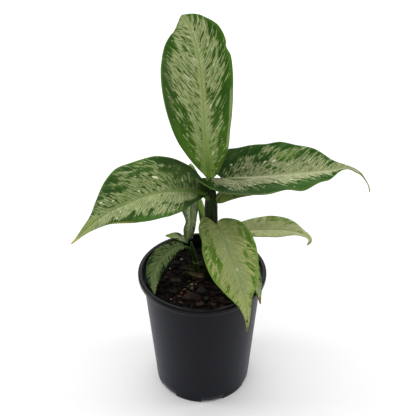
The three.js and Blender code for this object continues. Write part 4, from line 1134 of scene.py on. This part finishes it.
stemForm = {
    "swell": 0.32, "swellHeight": 0.9, "ringTilt": 1.3, "ribs": 0.08, "ribCount": 13,
    "groove": 0.55,
    "grooveWidth": 0.11,  # as an angle
    "grooveTurn": (1.5, 0.004, 200),  # angle to the front, turn for each millimetre over this height
    "grooveStart": (190, 12),  # height where the groove begins, and length over which it deepens
    "skin": 0.15,  # how far the surface lies inside the named radii
}


def stemShell(stem):
    # a stalk whose radius swells a little at each node ring and steps in along the overlap of its sheaths
    rings = stalkRings(stem["points"], stem["radii"], stem["sides"], stem["steps"])
    centre = rings.mean(1, keepdims=True)
    outward = rings - centre
    radius = np.linalg.norm(outward, axis=-1, keepdims=True)
    angle = np.arctan2(outward[..., 1:2], outward[..., 0:1])
    height = rings[..., 2:3]
    gaps = [(height - z - stemForm["ringTilt"] * np.sin(angle + z)) / stemForm["swellHeight"]
            for z in stem["rings"]]
    swell = sum(stemForm["swell"] * np.exp(-(gap ** 2)) for gap in gaps)
    front, turn, middle = stemForm["grooveTurn"]
    start, deepens = stemForm["grooveStart"]
    fromOverlap = (angle + front + turn * (height - middle)) / stemForm["grooveWidth"]
    groove = -stemForm["groove"] * np.exp(-(fromOverlap ** 2)) * np.clip((height - start) / deepens, 0, 1)
    ribs = stemForm["ribs"] * np.sin(stemForm["ribCount"] * angle + 0.05 * height)
    return closedTube(centre + unit(outward) * (radius + swell + groove + ribs - stemForm["skin"]))


def stemFinish(stem):
    # fine lines drawn out along the stem between two greens, lighter from 0.2 metres up, with dry blotches
    finish = Finish(stem["skin"], Roughness=0.5, Specular_IOR_Level=0.1)
    vector, (x, _, z) = finish.place()
    sockets = {0: vector, 1: (420, 420, 40)}
    stretched = finish.node("ShaderNodeVectorMath", {"operation": "MULTIPLY"}, sockets)
    lines = finish.noise(stretched, 1.0, 3.0, 0.6)
    blotch = finish.noise(vector, 120.0, 2.0, 0.5)
    upper = finish.step(z + blotch * 0.02, 0.2, 0.23)
    line = finish.step(lines, 0.35, 0.65)
    colour = finish.mix(line, stem["dark"], stem["light"])
    upperColour = finish.mix(line, stem["upperDark"], stem["upperLight"])
    colour = finish.mix(upper, colour, upperColour)
    colour = finish.mix(finish.step(blotch, 0.62, 0.74) * 0.5, colour, stem["dry"])
    if "paleRing" in stem:
        fromRing = finish.math("ABSOLUTE", z + x * 0.35 - stem["paleRing"])
        colour = finish.mix(finish.step(fromRing, 0.0012, 0.0006) * 0.8, colour, "#8a9450")
    finish.colour(colour)
    finish.bump(lines, 0.35, 0.0004)
    return finish


for name, stem in stems.items():
    addPiece(pieceName(name), [stemShell(stem)], stemFinish(stem), [name])

# the dry edge of the topmost sheath, wound down the front of the cane
sheathEdge = {
    "points": [(7.5, -3.5, 243), (11.9, -3.5, 240.3), (14.2, -2.2, 235), (15.2, -1.2, 229),
               (15.8, -0.6, 221), (15.2, -1.6, 213), (14.4, -2.4, 205)],
    "radii": [0.15, 0.5, 0.6, 0.55, 0.5, 0.3], "sides": 10, "steps": 60, "up": (1, 0.4, 0),
    "dark": "#2a2812", "light": "#4c4826",
}
finish = Finish("sheathEdgeSkin", Roughness=0.7, Specular_IOR_Level=0.2)
vector, _ = finish.place()
tone = finish.step(finish.noise(vector, 300.0, 3.0, 0.6), 0.35, 0.65)
finish.colour(finish.mix(tone, sheathEdge["dark"], sheathEdge["light"]))
rings = stalkRings(sheathEdge["points"], sheathEdge["radii"], sheathEdge["sides"], sheathEdge["steps"],
                   up=sheathEdge["up"])
addPiece("sheathEdge", [closedTube(rings)], finish)

sheathShapes = {
    "dry_sheath_shoot": {
        "midrib": [(-7, 15, 138), (-12, 13, 141), (-19, 12, 144)],
        "outline": [(0, 2), (0.4, 3.4), (0.8, 2.4), (1, 0.6)], "faces": [(0, -0.6, 0.8), (0, -0.8, 0.6)],
        "folds": [20, 10], "dark": "#2f2e17", "light": "#474423",
    },
    "dry_sheath_cane": {
        "midrib": [(6, 3, 138.5), (-1, 1, 139.5), (-9, 3, 140), (-19, 6, 142)],
        "outline": [(0, 2), (0.3, 2.6), (0.7, 2), (1, 0.6)], "faces": [(0, -0.4, 1), (0, -0.6, 0.8)],
        "folds": [10, 10], "dark": "#3a3018", "light": "#5f5230",
    },
}
for name, sheath in sheathShapes.items():
    finish = Finish(name + "Finish", Roughness=0.75, Specular_IOR_Level=0.2)
    start, out, _ = finish.attribute("leafSpan")
    wisps = finish.noise(finish.vector(start * 0.12, out * 1.4, 1.0), 1.0, 3.0, 0.6)
    finish.colour(finish.mix(finish.step(wisps, 0.35, 0.65), sheath["dark"], sheath["light"]))
    finish.bump(wisps, 0.6, 0.0005)
    shell = bladeShell(dict(commonShape, **sheath), commonLook, **bladeGrades["sheath"])
    addPiece(pieceName(name), [shell], finish, [name])
